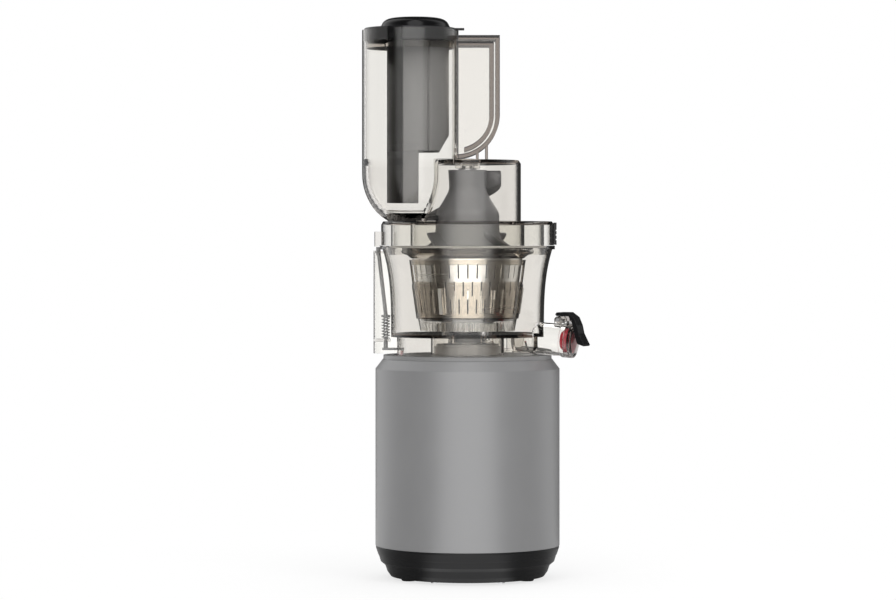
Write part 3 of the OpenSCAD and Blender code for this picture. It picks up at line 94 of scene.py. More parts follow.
# Pusher in millimetres: the step between the two halves of its stem and the short half's foot
SPLIT_X, SHORT_FOOT = -43.2, 374.5
# Its flange's radius and thickness
FLANGE_R, FLANGE_T = 40.7, 12
# Its dome's radius, the power of cos a that shapes it, and how far it sits to the right
DOME_R, DOME_SQUARE, DOME_SHIFT = 30.2, 0.35, 4.35
# The stem's groove: depth, place round the stem and width in degrees
GROOVE_DEPTH, GROOVE_AT, GROOVE_WIDTH = 1.7, 290.8, 1.7
# The quarter round at the stem's feet, and its steps
FOOT_ROUND, FOOT_STEPS = 1.2, 7
# The right of the stem's foot rises: from where beside its middle, and at what angle in degrees
SLANT_FROM, SLANT_ANGLE = 27.3 - 8, 60
# About half the width of the stem's longer part
LONG_HALF = 22
# Points along the dome, round the stem, and along the arc and the flat of the longer part
DOME_STEPS, STEM_STEPS, ARC_STEPS, FLAT_STEPS = 28, 288, 150, 60

# Auger in millimetres: inside radius of the drum at its lower and upper end
DRUM_LOW_R, DRUM_HIGH_R = 41.2, 48.5
# Radii of the auger's hexagon socket, spindle, gear seat and pin hole
SOCKET_R, SPINDLE_R, SEAT_R, PIN_HOLE_R = 8.45, 12.04, 13.55, 5.0
# Heights on its core, how many neighbours to each side smooth one, steps along the flight and
# steps along a ridge
CORE_STEPS, CORE_SMOOTH, FLIGHT_STEPS, RIDGE_STEPS = 180, 5, 160, 90
RIDGES = 4

# Soft boxes: name, place, the point that it faces, width and height in metres, and watts
LAMPS = (
    ("key_box", (-0.9, -2.1, 2.7), (0, 0, 0.2), (1.4, 1.0), 17),
    ("fill_box", (1.5, -1.9, 2.5), (0, 0, 0.2), (1.4, 1.0), 18),
    ("top_box", (0.1, -0.1, 2.0), (0, 0, 0.2), (1.2, 1.2), 2.5),
    ("back_box", (0.6, 1.9, 1.2), (0, 0, 0.3), (1.2, 1.2), 8),
)
# Level of the world's light on plain surfaces, and half the side of the floor in metres
SOFT_LEVEL = 0.85
FLOOR_REACH = 30.0
# Camera: place in metres, focal length in millimetres and shift as a share of the width
CAMERA_AT = (-0.01716, -2.728, 0.2926)
CAMERA_LENS, CAMERA_SHIFT = 124.5, -0.0614


def box_mm(node):
    """Lowest and highest corner of a CAD node in millimetres, as arrays."""
    low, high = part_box(node)
    return np.array(low) / MM, np.array(high) / MM


# Settings


def colour(name, description, value):
    """A colour setting."""
    return FloatVectorProperty(name=name, description=description, subtype="COLOR", size=3,
                               min=0.0, max=1.0, default=value)


class JuicerColours(PropertyGroup):
    """Base colours of the finishes, as linear values."""

    shell: colour("Body paint", "Satin grey paint of the motor body", (0.26, 0.26, 0.263))
    black: colour("Satin black", "Moulded black plastic", (0.007, 0.007, 0.0075))
    gloss: colour("Gloss black", "Polished black plastic", (0.005, 0.005, 0.0055))
    clear: colour("Clear surface", "Tint of the clear plastic's surface", (0.995, 0.988, 0.968))
    clear_depth: colour("Clear depth", "What the clear plastic lets through with its depth",
                        (0.16, 0.07, 0.0))
    smoky: colour("Smoky surface", "Tint of the dark translucent plastic", (0.925, 0.905, 0.87))
    smoky_depth: colour("Smoky depth", "What the dark translucent plastic lets through",
                        (0.2, 0.1, 0.0))
    red: colour("Red silicone", "Seals at the spout and under the bowl", (0.50, 0.035, 0.055))
    auger: colour("Auger grey", "Satin plastic of the auger", (0.162, 0.162, 0.166))
    stem: colour("Pusher stem", "Satin plastic of the pusher's stem", (0.2, 0.198, 0.196))
    # Painted dark reflection: the pusher's stem is darker on its left, where its satin plastic
    # mirrors dark surroundings
    stem_painted_reflection: colour("Pusher stem, painted dark reflection", "Painted dark reflection at the side of the pusher's stem",
                      (0.012, 0.0108, 0.0095))
    cap: colour("Spout cap", "Light plastic of the spout's cap", (0.52, 0.52, 0.53))


class JuicerShapes(PropertyGroup):
    """Sizes of the fine pieces."""

    edge: FloatProperty(name="Edge radius", description="Rounding of moulded edges",
                        default=0.0007, min=0.0001, max=0.003, subtype="DISTANCE", unit="LENGTH")
    rounds: IntProperty(name="Steps round", description="Steps round a turned piece", default=128,
                        min=32, max=256)


# Shared node groups


def socket(group, name, kind, into, value=None):
    """Adds a named socket to a node group's interface."""
    made = group.interface.new_socket(name=name, in_out="INPUT" if into else "OUTPUT",
                                      socket_type=kind)
    if value is not None:
        made.default_value = value
    return made


def link(tree, source, target):
    """Joins two sockets."""
    tree.links.new(source, target)


def math_node(tree, operation, first, second):
    """A Math node whose inputs are sockets or numbers; returns its output."""
    node = tree.nodes.new("ShaderNodeMath")
    node.operation = operation
    for index, value in enumerate((first, second)):
        if isinstance(value, (int, float)):
            node.inputs[index].default_value = value
        else:
            link(tree, value, node.inputs[index])
    return node.outputs[0]


def set_inputs(node, **values):
    """Sets a node's plain inputs; each name is the input's own, with _ for a space."""
    for name, value in values.items():
        node.inputs[name.replace("_", " ")].default_value = value


def mixed(tree, first, second, factor):
    """Mix of two colours by a factor; each colour is a socket or an RGB value."""
    mix = tree.nodes.new("ShaderNodeMix")
    mix.data_type = "RGBA"
    for name, value in (("A", first), ("B", second)):
        if isinstance(value, bpy.types.NodeSocket):
            link(tree, value, mix.inputs[name])
        else:
            mix.inputs[name].default_value = (*value, 1)
    link(tree, factor, mix.inputs["Factor"])
    return mix.outputs["Result"]


def moulded_group():
    """Noise at two sizes on Object coordinates: a slow mottle and a fine grain."""
    group = bpy.data.node_groups.get("moulded_surface")
    if group:
        return group
    group = bpy.data.node_groups.new("moulded_surface", "ShaderNodeTree")
    socket(group, "Grain size", "NodeSocketFloat", True, 0.0004)
    socket(group, "Mottle size", "NodeSocketFloat", True, 0.03)
    socket(group, "Mottle", "NodeSocketFloat", False)
    socket(group, "Grain", "NodeSocketFloat", False)
    nodes = group.nodes
    given, out = nodes.new("NodeGroupInput"), nodes.new("NodeGroupOutput")
    place = nodes.new("ShaderNodeTexCoord")
    for size, name in (("Grain size", "Grain"), ("Mottle size", "Mottle")):
        noise = nodes.new("ShaderNodeTexNoise")
        noise.inputs["Detail"].default_value = 3.0
        link(group, place.outputs["Object"], noise.inputs["Vector"])
        link(group, math_node(group, "DIVIDE", 1.0, given.outputs[size]), noise.inputs["Scale"])
        link(group, noise.outputs["Fac"], out.inputs[name])
    return group


def turned_group():
    """Fine rings as a turning tool leaves them: noise drawn out round the upright axis."""
    group = bpy.data.node_groups.get("turned_lines")
    if group:
        return group
    group = bpy.data.node_groups.new("turned_lines", "ShaderNodeTree")
    socket(group, "Line size", "NodeSocketFloat", True, 0.0003)
    socket(group, "Lines", "NodeSocketFloat", False)
    nodes = group.nodes
    given, out = nodes.new("NodeGroupInput"), nodes.new("NodeGroupOutput")
    place = nodes.new("ShaderNodeTexCoord")
    spread = nodes.new("ShaderNodeVectorMath")
    spread.operation = "MULTIPLY"
    spread.inputs[1].default_value = (0.02, 0.02, 1.0)
    noise = nodes.new("ShaderNodeTexNoise")
    noise.inputs["Detail"].default_value = 2.0
    link(group, place.outputs["Object"], spread.inputs[0])
    link(group, spread.outputs[0], noise.inputs["Vector"])
    link(group, math_node(group, "DIVIDE", 1.0, given.outputs["Line size"]),
         noise.inputs["Scale"])
    link(group, noise.outputs["Fac"], out.inputs["Lines"])
    return group


def place_group(tree, group, **values):
    """Puts a shared group into a material with its own values."""
    node = tree.nodes.new("ShaderNodeGroup")
    node.node_tree = group
    for name, value in values.items():
        node.inputs[name.replace("_", " ").capitalize()].default_value = value
    return node


# Finishes


def new_finish(name):
    """A material with a Principled shader; returns the material, its tree and that shader."""
    material = bpy.data.materials.new(name)
    material.use_nodes = True
    tree = material.node_tree
    tree.nodes.clear()
    shader = tree.nodes.new("ShaderNodeBsdfPrincipled")
    out = tree.nodes.new("ShaderNodeOutputMaterial")
    link(tree, shader.outputs[0], out.inputs["Surface"])
    return material, tree, shader


def tinted(tree, base, factor, spread):
    """Base colour made lighter and darker by a factor round one half; returns its socket."""
    low = [max(0.0, c * (1 - spread)) for c in base]
    high = [min(1.0, c * (1 + spread)) for c in base]
    return mixed(tree, low, high, factor)


def softened(tree, shader, height, depth, radius):
    """Bump from a height over normals that are rounded at the edges."""
    bevel = tree.nodes.new("ShaderNodeBevel")
    bevel.samples = 4
    set_inputs(bevel, Radius=radius)
    bump = tree.nodes.new("ShaderNodeBump")
    set_inputs(bump, Distance=depth, Strength=1.0)
    link(tree, height, bump.inputs["Height"])
    link(tree, bevel.outputs[0], bump.inputs["Normal"])
    link(tree, bump.outputs[0], shader.inputs["Normal"])


def roughness_from(tree, shader, factor, low, high):
    """Roughness that varies between two values with a mask."""
    span = tree.nodes.new("ShaderNodeMapRange")
    set_inputs(span, To_Min=low, To_Max=high)
    link(tree, factor, span.inputs["Value"])
    link(tree, span.outputs["Result"], shader.inputs["Roughness"])


def moulded_finish(name, base, low, high, grain, depth, radius=0.0006, coat=0.0, metal=0.0,
                   spread=0.05, shine=0.5):
    """Opaque moulded, painted or rubber finish."""
    material, tree, shader = new_finish(name)
    marks = place_group(tree, moulded_group(), grain_size=grain)
    link(tree, tinted(tree, base, marks.outputs["Mottle"], spread), shader.inputs["Base Color"])
    roughness_from(tree, shader, marks.outputs["Mottle"], low, high)
    set_inputs(shader, Metallic=metal, Specular_IOR_Level=shine, Coat_Weight=coat,
               Coat_Roughness=0.08)
    softened(tree, shader, marks.outputs["Grain"], depth, radius)
    return material


def painted_reflection_finish(name, base, dark, radius, low=0.3, high=0.42, coat=0.0, start=-1.0, top=10.0):
    """Moulded finish with a painted dark reflection: a darker strip of colour that stands in for
    a dark part of the surroundings mirrored in the pusher. The strip lies between a start and its
    edge, left to right on the pusher. The dark colour also takes in everything above a top
    height, where it is the part's own black. By default it has no start and no top within the
    object."""
    material, tree, shader = new_finish(name)
    marks = place_group(tree, moulded_group(), grain_size=0.0006)
    place, parts = tree.nodes.new("ShaderNodeTexCoord"), tree.nodes.new("ShaderNodeSeparateXYZ")
    link(tree, place.outputs["Object"], parts.inputs[0])
    past = []
    for axis, edge_at in (("X", DARK_REFLECTION_EDGE), ("X", start), ("Z", top)):
        span = tree.nodes.new("ShaderNodeMapRange")
        set_inputs(span, From_Min=edge_at - DARK_REFLECTION_BLEND, From_Max=edge_at + DARK_REFLECTION_BLEND)
        link(tree, parts.outputs[axis], span.inputs["Value"])
        past.append(span.outputs["Result"])
    beside = math_node(tree, "MAXIMUM", past[0], math_node(tree, "SUBTRACT", 1.0, past[1]))
    light = math_node(tree, "MINIMUM", beside, math_node(tree, "SUBTRACT", 1.0, past[2]))
    mottle = marks.outputs["Mottle"]
    # Painted dark reflection: the dark colour inside the strip, the base colour elsewhere
    both = mixed(tree, tinted(tree, dark, mottle, 0.1), tinted(tree, base, mottle, 0.04), light)
    link(tree, both, shader.inputs["Base Color"])
    roughness_from(tree, shader, mottle, low, high)
    set_inputs(shader, Coat_Weight=coat, Specular_IOR_Level=0.2)
    softened(tree, shader, marks.outputs["Grain"], 0.000005, radius)
    return material


def metal_finish(name, base, low, high, line, spread=0.05, depth=0.000003):
    """Turned or rolled metal with fine lines round the axis."""
    material, tree, shader = new_finish(name)
    lines = place_group(tree, turned_group(), line_size=line)
    link(tree, tinted(tree, base, lines.outputs["Lines"], spread), shader.inputs["Base Color"])
    roughness_from(tree, shader, lines.outputs["Lines"], low, high)
    set_inputs(shader, Metallic=1.0)
    softened(tree, shader, lines.outputs["Lines"], depth, 0.0003)
    return material


def clear_finish(name, surface, rim, inside, density, ior, rough, coat, coat_ior=1.5):
    """Clear plastic that takes light away with its depth, so that a wall seen edge on is dark.

    Each surface has a slight tint with a faint mottle, and a dark rim where it turns away from
    the eye. The solid absorbs by the length of the ray in it. Shadow and diffuse rays pass almost
    freely, so that lamps reach what stands inside.
    """
    material, tree, shader = new_finish(name)
    nodes = tree.nodes
    marks = place_group(tree, moulded_group(), grain_size=0.02, mottle_size=0.05)
    weight, span = nodes.new("ShaderNodeLayerWeight"), nodes.new("ShaderNodeMapRange")
    set_inputs(weight, Blend=0.5)
    span.interpolation_type = "SMOOTHSTEP"
    set_inputs(span, From_Min=0.68, From_Max=0.9)
    link(tree, weight.outputs["Facing"], span.inputs["Value"])
    mottle = marks.outputs["Mottle"]
    seen = mixed(tree, tinted(tree, surface, mottle, 0.012), rim, span.outputs["Result"])
    link(tree, seen, shader.inputs["Base Color"])
    roughness_from(tree, shader, mottle, rough * 0.8, rough * 1.2)
    set_inputs(shader, Transmission_Weight=1.0, IOR=ior, Coat_Weight=coat, Coat_Roughness=0.03,
               Coat_IOR=coat_ior)
    path = nodes.new("ShaderNodeLightPath")
    passing = math_node(tree, "MAXIMUM", path.outputs["Is Shadow Ray"],
                        path.outputs["Is Diffuse Ray"])
    link(tree, math_node(tree, "SUBTRACT", 1.0, math_node(tree, "MULTIPLY", passing, 0.9)),
         shader.inputs["Alpha"])
    depth = nodes.new("ShaderNodeVolumeAbsorption")
    set_inputs(depth, Color=(*inside, 1), Density=density)
    out = next(node for node in nodes if node.type == "OUTPUT_MATERIAL")
    link(tree, depth.outputs[0], out.inputs["Volume"])
    return material


def build_finishes(colours, edge):
    """Makes every finish once and returns them by name, mostly that of their slot.

    The numbers of a moulded finish are its lowest and highest roughness, the size of its grain
    and the depth of the grain in metres; those of a clear one are the density of its inside, its
    index of refraction, its roughness and its coat.
    """
    c = colours
    flange_face = (box_mm("pusher_cap")[0][2] + FLANGE_T - 0.4) * MM
    return {
        "grey_shell": moulded_finish("satin_grey_paint", c.shell, 0.38, 0.46, 0.00035, 0.000006,
                                     0.0012, coat=0.05, metal=0.25, spread=0.03),
        "black_plastic": moulded_finish("satin_black_plastic", c.black, 0.38, 0.5, 0.0005,
                                        0.00001, edge, shine=0.28),
        "black_gloss": moulded_finish("polished_black_plastic", c.gloss, 0.12, 0.2, 0.001,
                                      0.000001, edge, coat=0.1, shine=0.3),
        "black_rubber": moulded_finish("black_rubber", (0.02, 0.02, 0.02), 0.6, 0.8, 0.0006,
                                       0.00002, edge),
        "steel": metal_finish("ground_steel", (0.55, 0.55, 0.56), 0.22, 0.36, 0.0004),
        "strainer_steel": metal_finish("strainer_steel", (0.93, 0.91, 0.865), 0.22, 0.3, 0.004,
                                       0.015, 0.0),
        "laminations": metal_finish("stacked_laminations", (0.25, 0.25, 0.27), 0.4, 0.6, 0.0007),
        "cast_alloy": moulded_finish("cast_alloy", (0.40, 0.40, 0.41), 0.4, 0.6, 0.001, 0.00003,
                                     0.001, metal=0.9),
        "board": moulded_finish("board_green", (0.03, 0.12, 0.06), 0.35, 0.5, 0.002, 0.00001),
        "white_plastic": moulded_finish("natural_acetal", (0.72, 0.71, 0.66), 0.35, 0.5, 0.001,
                                        0.000005),
        "red_silicone": moulded_finish("red_silicone", c.red, 0.32, 0.45, 0.0008, 0.00001, edge),
        "pale_silicone": moulded_finish("pale_silicone", (0.40, 0.385, 0.35), 0.4, 0.55, 0.0008,
                                        0.00001, edge),
        "rod_grey": moulded_finish("rod_grey", (0.22, 0.22, 0.22), 0.3, 0.45, 0.0008, 0.000005),
        "auger_grey": moulded_finish("auger_grey", c.auger, 0.3, 0.4, 0.0008, 0.000005, 0.0012,
                                     spread=0.04),
        "cap_grey": moulded_finish("cap_grey", c.cap, 0.16, 0.26, 0.0008, 0.000002, edge,
                                   coat=0.3),
        # Stem and flange both carry a painted dark reflection across their left side; above the
        # flange the dark colour is the dome's own black
        "stem_grey": painted_reflection_finish("stem_grey", c.stem, c.stem_painted_reflection, 0.0012),
        "gloss_band": painted_reflection_finish("polished_black_painted_reflection", (0.044, 0.044, 0.045), c.gloss, edge,
                                    0.12, 0.2, 0.08, DARK_REFLECTION_START, flange_face),
        "smoky_clear": clear_finish("clear_plastic", c.clear, (0.55, 0.53, 0.50), c.clear_depth,
                                    20, 1.2, 0.01, 0.25),
        "grip_clear": clear_finish("clear_grip_plastic", c.clear, (0.5, 0.48, 0.46),
                                   c.clear_depth, 42, 1.2, 0.01, 0.5),
        "bowl_clear": clear_finish("clear_bowl_plastic", (0.955, 0.945, 0.92), (0.4, 0.38, 0.35),
                                   c.clear_depth, 26, 1.2, 0.01, 0.4),
        "smoky_brown": clear_finish("smoky_brown_plastic", c.smoky, (0.14, 0.13, 0.11),
                                    c.smoky_depth, 85, 1.12, 0.05, 0.6),
        "ring_clear": clear_finish("warm_grey_ring", (0.86, 0.84, 0.81), (0.3, 0.28, 0.26),
                                   c.clear_depth, 12, 1.1, 0.08, 0.5),
        "gear_clear": clear_finish("clear_gear_ring", (0.985, 0.98, 0.96), (0.5, 0.48, 0.45),
                                   c.clear_depth, 5, 1.15, 0.03, 1.0, 2.1),
        "cap_clear": clear_finish("clear_grey_cap", (0.86, 0.86, 0.87), (0.2, 0.2, 0.2),
                                  c.clear_depth, 60, 1.2, 0.04, 1.0),
        "boss_grey": moulded_finish("boss_grey", (0.42, 0.41, 0.395), 0.4, 0.5, 0.0004, 0.000006,
                                    0.0012, spread=0.03),
    }


def dress(obj, slot, finish=None):
    """Gives an object one finish, that of its slot unless another finish is given."""
    obj.data.materials.clear()
    obj.data.materials.append(FINISHES[finish or slot])


# Surfaces


def new_piece(name, points, faces, body, slot, stands_for, finish=None):
    """A smooth mesh object from points in millimetres and faces, which rides on a body and takes
    the place of CAD nodes."""
    mesh = bpy.data.meshes.new(name)
    mesh.from_pydata((np.asarray(points, float) * MM).tolist(), [], [list(f) for f in faces])
    mesh.validate()
    work = bmesh.new()
    work.from_mesh(mesh)
    bmesh.ops.recalc_face_normals(work, faces=work.faces)
    work.to_mesh(mesh)
    work.free()
    mesh.update()
    mesh.shade_smooth()
    piece = bpy.data.objects.new(name, mesh)
    bpy.context.scene.collection.objects.link(piece)
    dress(piece, slot, finish)
    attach(piece, body)
    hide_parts(*stands_for)
    return piece


def grid_faces(rows, columns, wrap_rows):
    """Quads between neighbours of a grid of points, closed round its columns, and round its rows
    where asked."""
    i = np.arange(rows if wrap_rows else rows - 1)
    j = np.arange(columns)
    a, b = np.meshgrid(i, j, indexing="ij")
    a2, b2 = (a + 1) % rows, (b + 1) % columns
    return np.stack([a * columns + b, a2 * columns + b, a2 * columns + b2, a * columns + b2],
                    -1).reshape(-1, 4)


def rounded(profile, radius, steps=4):
    """A closed outline whose corners are arcs: each corner is cut at a distance and the cut is
    a quadratic curve through the corner's two sides."""
    points = np.asarray(profile, float)
    before, after = np.roll(points, 1, 0) - points, np.roll(points, -1, 0) - points
    reach_b, reach_a = np.linalg.norm(before, axis=1), np.linalg.norm(after, axis=1)
    cut = np.minimum(radius, np.minimum(reach_b, reach_a) * 0.45)
    first = points + before * (cut / reach_b)[:, None]
    last = points + after * (cut / reach_a)[:, None]
    t = np.linspace(0, 1, steps + 1)[None, :, None]
    curve = ((1 - t) ** 2 * first[:, None] + 2 * t * (1 - t) * points[:, None]
             + t ** 2 * last[:, None])
    return curve.reshape(-1, points.shape[1])


def turned(profile, steps, centre_x=0.0):
    """Closed profile of radius and height carried round an upright axis: x = centre + r cos a,
    y = r sin a."""
    profile = np.asarray(profile, float)
    a = np.linspace(0, 2 * math.pi, steps, endpoint=False)[:, None]
    r, z = profile[None, :, 0], profile[None, :, 1]
    points = np.stack([centre_x + r * np.cos(a), r * np.sin(a),
                       np.broadcast_to(z, (steps, len(profile)))], -1).reshape(-1, 3)
    return points, grid_faces(steps, len(profile), True)


def at_height(outline, z):
    """The points of a flat outline, all at one height."""
    return np.column_stack([outline, np.full(len(outline), z)])


def swept(rings):
    """A tube through rings of points: rings run along the path, points run round the section.
    Each end gets one flat face."""
    rings = np.asarray(rings, float)
    count, around = rings.shape[:2]
    faces = grid_faces(count, around, False).tolist()
    faces.append(list(range(around)))
    faces.append([(count - 1) * around + k for k in range(around - 1, -1, -1)])
    return rings.reshape(-1, 3), faces


def helix_blade(turn, first, last, inner, outer, thick_in, thick_out, dip, radius=1.2):
    """A blade that winds round the axis from a first to a last height. At each step its section
    has four corners, at the inner and outer radius, above and below, with its outer edge lower by
    a dip; they are rounded and then turned by the step's angle."""
    top = np.linspace(first, last, len(turn))
    inner, outer = np.broadcast_to(inner, top.shape), np.broadcast_to(outer, top.shape)
    corners = np.stack([np.stack([inner, top - thick_in], -1),
                        np.stack([outer, top - dip - thick_out], -1),
                        np.stack([outer, top - dip], -1), np.stack([inner, top], -1)], 1)
    sections = np.stack([rounded(section, radius, 5) for section in corners])
    a = np.radians(turn)[:, None]
    return swept(np.stack([sections[..., 0] * np.cos(a), sections[..., 0] * np.sin(a),
                           sections[..., 1]], -1))


def joined(*parts):
    """Several meshes of points and faces as one."""
    points, faces, start = [], [], 0
    for part_points, part_faces in parts:
        points.append(np.asarray(part_points, float))
        faces += [[index + start for index in face] for face in part_faces]
        start += len(part_points)
    return np.concatenate(points), faces


# Operators


class JuicerPiece(Operator):
    """Shared parts of the juicer's operators."""

    bl_idname = "juicer.piece"
    bl_label = "Piece"
    bl_options = {"INTERNAL"}

    def finish(self, *objects):
        """Raises when a piece came out empty."""
        for obj in objects:
            if not obj.data.polygons:
                raise RuntimeError(f"{obj.name} has no faces")
        return {"FINISHED"}


class JUICER_OT_finishes(JuicerPiece):
    """Makes the finishes and gives each CAD node its own."""

    bl_idname = "juicer.finishes"
    bl_label = "Finishes"

    def execute(self, context):
        scene = context.scene
        FINISHES.update(build_finishes(scene.juicer_colours, scene.juicer_shapes.edge))
        for name, obj in NODES.items():
            dress(obj, SLOT_OF[name], OWN_FINISH.get(name))
        return {"FINISHED"}


class JUICER_OT_auger(JuicerPiece):
    """Auger with a turned core, one climbing flight and four pressing ridges.

    The core's radius goes in straight lines between given heights, and a running mean softens it.
    The flight's angle falls evenly with its height, and its outer radius shrinks towards the head
    by t to the power 0.8. The ridges' outer radius follows the inside of the drum.
    """

    bl_idname = "juicer.auger"
    bl_label = "Auger"

    def execute(self, context):
        steps = context.scene.juicer_shapes.rounds
        low, high = box_mm("auger")
        wing_low, wing_high = box_mm("cutter_wing")
        drum_low, drum_high = box_mm("strainer_drum")
        foot, head, base = low[2], high[2], drum_low[2] + 1
        ridge_end, blade_foot = wing_low[2] - 8.8, wing_high[2] + 1

        def drum(z):
            """Inside of the drum: a cone between its two ends."""
            share = (z - drum_low[2]) / (drum_high[2] - drum_low[2])
            return DRUM_LOW_R + (DRUM_HIGH_R - DRUM_LOW_R) * np.clip(share, 0, 1)

        # Height and radius of the core from its foot up
        outline = [(base, drum(base) - 5.4), (base + 30, drum(base + 30) - 9),
                   (drum_high[2], 33.5), (ridge_end, 28), (blade_foot, 28),
                   (blade_foot + 9, 22), (head - 17.5, 16), (head, 17)]
        even = np.linspace(base, head, CORE_STEPS)
        core = np.interp(even, *np.array(outline).T)
        near = np.ones(2 * CORE_SMOOTH + 1) / (2 * CORE_SMOOTH + 1)
        core = np.convolve(np.pad(core, CORE_SMOOTH, "edge"), near, "valid")
        profile = [(SOCKET_R, foot), (SPINDLE_R, foot), (SPINDLE_R, base - 12.9),
                   (SEAT_R, base - 12.9), (SEAT_R, base)]
        profile += list(zip(core, even))
        profile += [(PIN_HOLE_R, head), (PIN_HOLE_R, head - 14), (SOCKET_R, head - 16)]
        body = turned(profile, steps)
        # t runs from 1 at a blade's upper end to 0 at its foot
        t = np.linspace(1, 0, FLIGHT_STEPS)
        flight = helix_blade(163 - 168 * t, head - 0.5, blade_foot + 1, 10.7,
                             37.5 - 8 * t ** 0.8, 6 + 12 * t, 4 + 8 * t, 2 * (1 - t), 1.6)
        t = np.linspace(1, 0, RIDGE_STEPS)
        ridge_foot, ridge_top = base + 5.5, ridge_end - 1
        z = np.linspace(ridge_top, ridge_foot, RIDGE_STEPS)
        wall = np.minimum(drum(z) - 1.7, 46.5) - np.maximum(0, (t - 0.8) * 30)
        inner = np.interp(z, even, core) - 4
        ridges = [helix_blade(360 / RIDGES * i - 150 * t, ridge_top, ridge_foot, inner, wall,
                              5, 2.5, 1) for i in range(RIDGES)]
        points, faces = joined(body, flight, *ridges)
        auger = new_piece("auger_screw", points, faces, "auger", "auger_grey", ["auger"])
        return self.finish(auger)


class JUICER_OT_pusher(JuicerPiece):
    """Pusher: polished cap with a soft dome and a tab, and the stepped stem.

    The dome rises by sin a and its radius is R times cos a to a small power, for a steep side and
    a nearly flat top, with a slight flare at its foot.
    """

    bl_idname = "juicer.pusher"
    bl_label = "Pusher"

    def execute(self, context):
        steps = context.scene.juicer_shapes.rounds
        low, high = box_mm("pusher_cap")
        centre = low[0] + FLANGE_R
        flange_top = low[2] + FLANGE_T
        flange = rounded([(0.01, low[2]), (FLANGE_R, low[2]), (FLANGE_R, flange_top),
                          (0.01, flange_top)], 1.6, 6)
        plate = turned(flange, steps, centre)
        a = np.linspace(0, math.pi / 2, DOME_STEPS)
        rise = high[2] - flange_top
        dome = np.stack([DOME_R * np.cos(a) ** DOME_SQUARE + 0.8 * np.exp(-(a * 6) ** 2),
                         flange_top - 0.1 + (rise + 0.1) * np.sin(a)], -1)
        dome[-1, 0] = 0.01
        shape = np.concatenate([[(0.01, flange_top - 1)], [(dome[0, 0], flange_top - 1)], dome])
        crown = turned(shape, steps, centre + DOME_SHIFT)
        tab_in, tab_out, tab_half = centre + FLANGE_R - 2, high[0], 5
        outline = rounded([(tab_in, -tab_half), (tab_out, -tab_half), (tab_out, tab_half),
                           (tab_in, tab_half)], 1.5, 5)
        tab = swept([at_height(outline, z) for z in (flange_top - 1.5, flange_top)])
        cap = new_piece("pusher_crown", *joined(plate, crown, tab), "pusher", "black_gloss",
                        ["pusher_cap"], "gloss_band")
        return self.finish(cap, self.stem())

    def stem(self):
        """The stem and the longer part at its left.

        The stem is a circle with a groove down its front, x = middle + r cos a, y = r sin a, and
        each column of its points starts at the height of a slanted cut. The longer part is what
        lies left of the split. Both are drawn in at the foot by 1 - sin and lifted by 1 - cos.
        """
        low, high = box_mm("pusher_stem")
        radius = (high[0] - low[0]) / 2
        middle = (low[0] + high[0]) / 2
        a = np.linspace(0, 2 * math.pi, STEM_STEPS, endpoint=False)
        r = radius - GROOVE_DEPTH * np.exp(-((np.degrees(a) - GROOVE_AT) / GROOVE_WIDTH) ** 2)
        x = middle + r * np.cos(a)
        slope = math.tan(math.radians(SLANT_ANGLE))
        slant = SHORT_FOOT + np.maximum(0, (x - (middle + SLANT_FROM)) * slope)
        feet = [(FOOT_ROUND * (1 - math.sin(ease)), FOOT_ROUND * (1 - math.cos(ease)))
                for ease in np.linspace(0, math.pi / 2, FOOT_STEPS)]
        upper = [np.stack([middle + (r - inward) * np.cos(a), (r - inward) * np.sin(a),
                           slant + lift], -1) for inward, lift in feet]
        upper.append(np.stack([x, r * np.sin(a), np.full(len(a), high[2])], -1))

        reach = r.mean()
        bow = math.acos((SPLIT_X - middle) / reach)
        arc = np.linspace(bow, 2 * math.pi - bow, ARC_STEPS)
        side = np.linspace(-1, 1, FLAT_STEPS) * reach * math.sin(bow) * 0.998
        outline = np.concatenate([
            np.stack([middle + reach * np.cos(arc), reach * np.sin(arc)], -1),
            np.stack([np.full(FLAT_STEPS, SPLIT_X), side], -1)[1:-1]])
        centre = outline.mean(0)
        lower = [at_height(centre + (outline - centre) * (1 - inward / LONG_HALF), low[2] + lift)
                 for inward, lift in feet]
        lower.append(at_height(outline, SHORT_FOOT + 6))
        return new_piece("pusher_post", *joined(swept(upper), swept(lower)), "pusher",
                         "stem_grey", ["pusher_stem"])


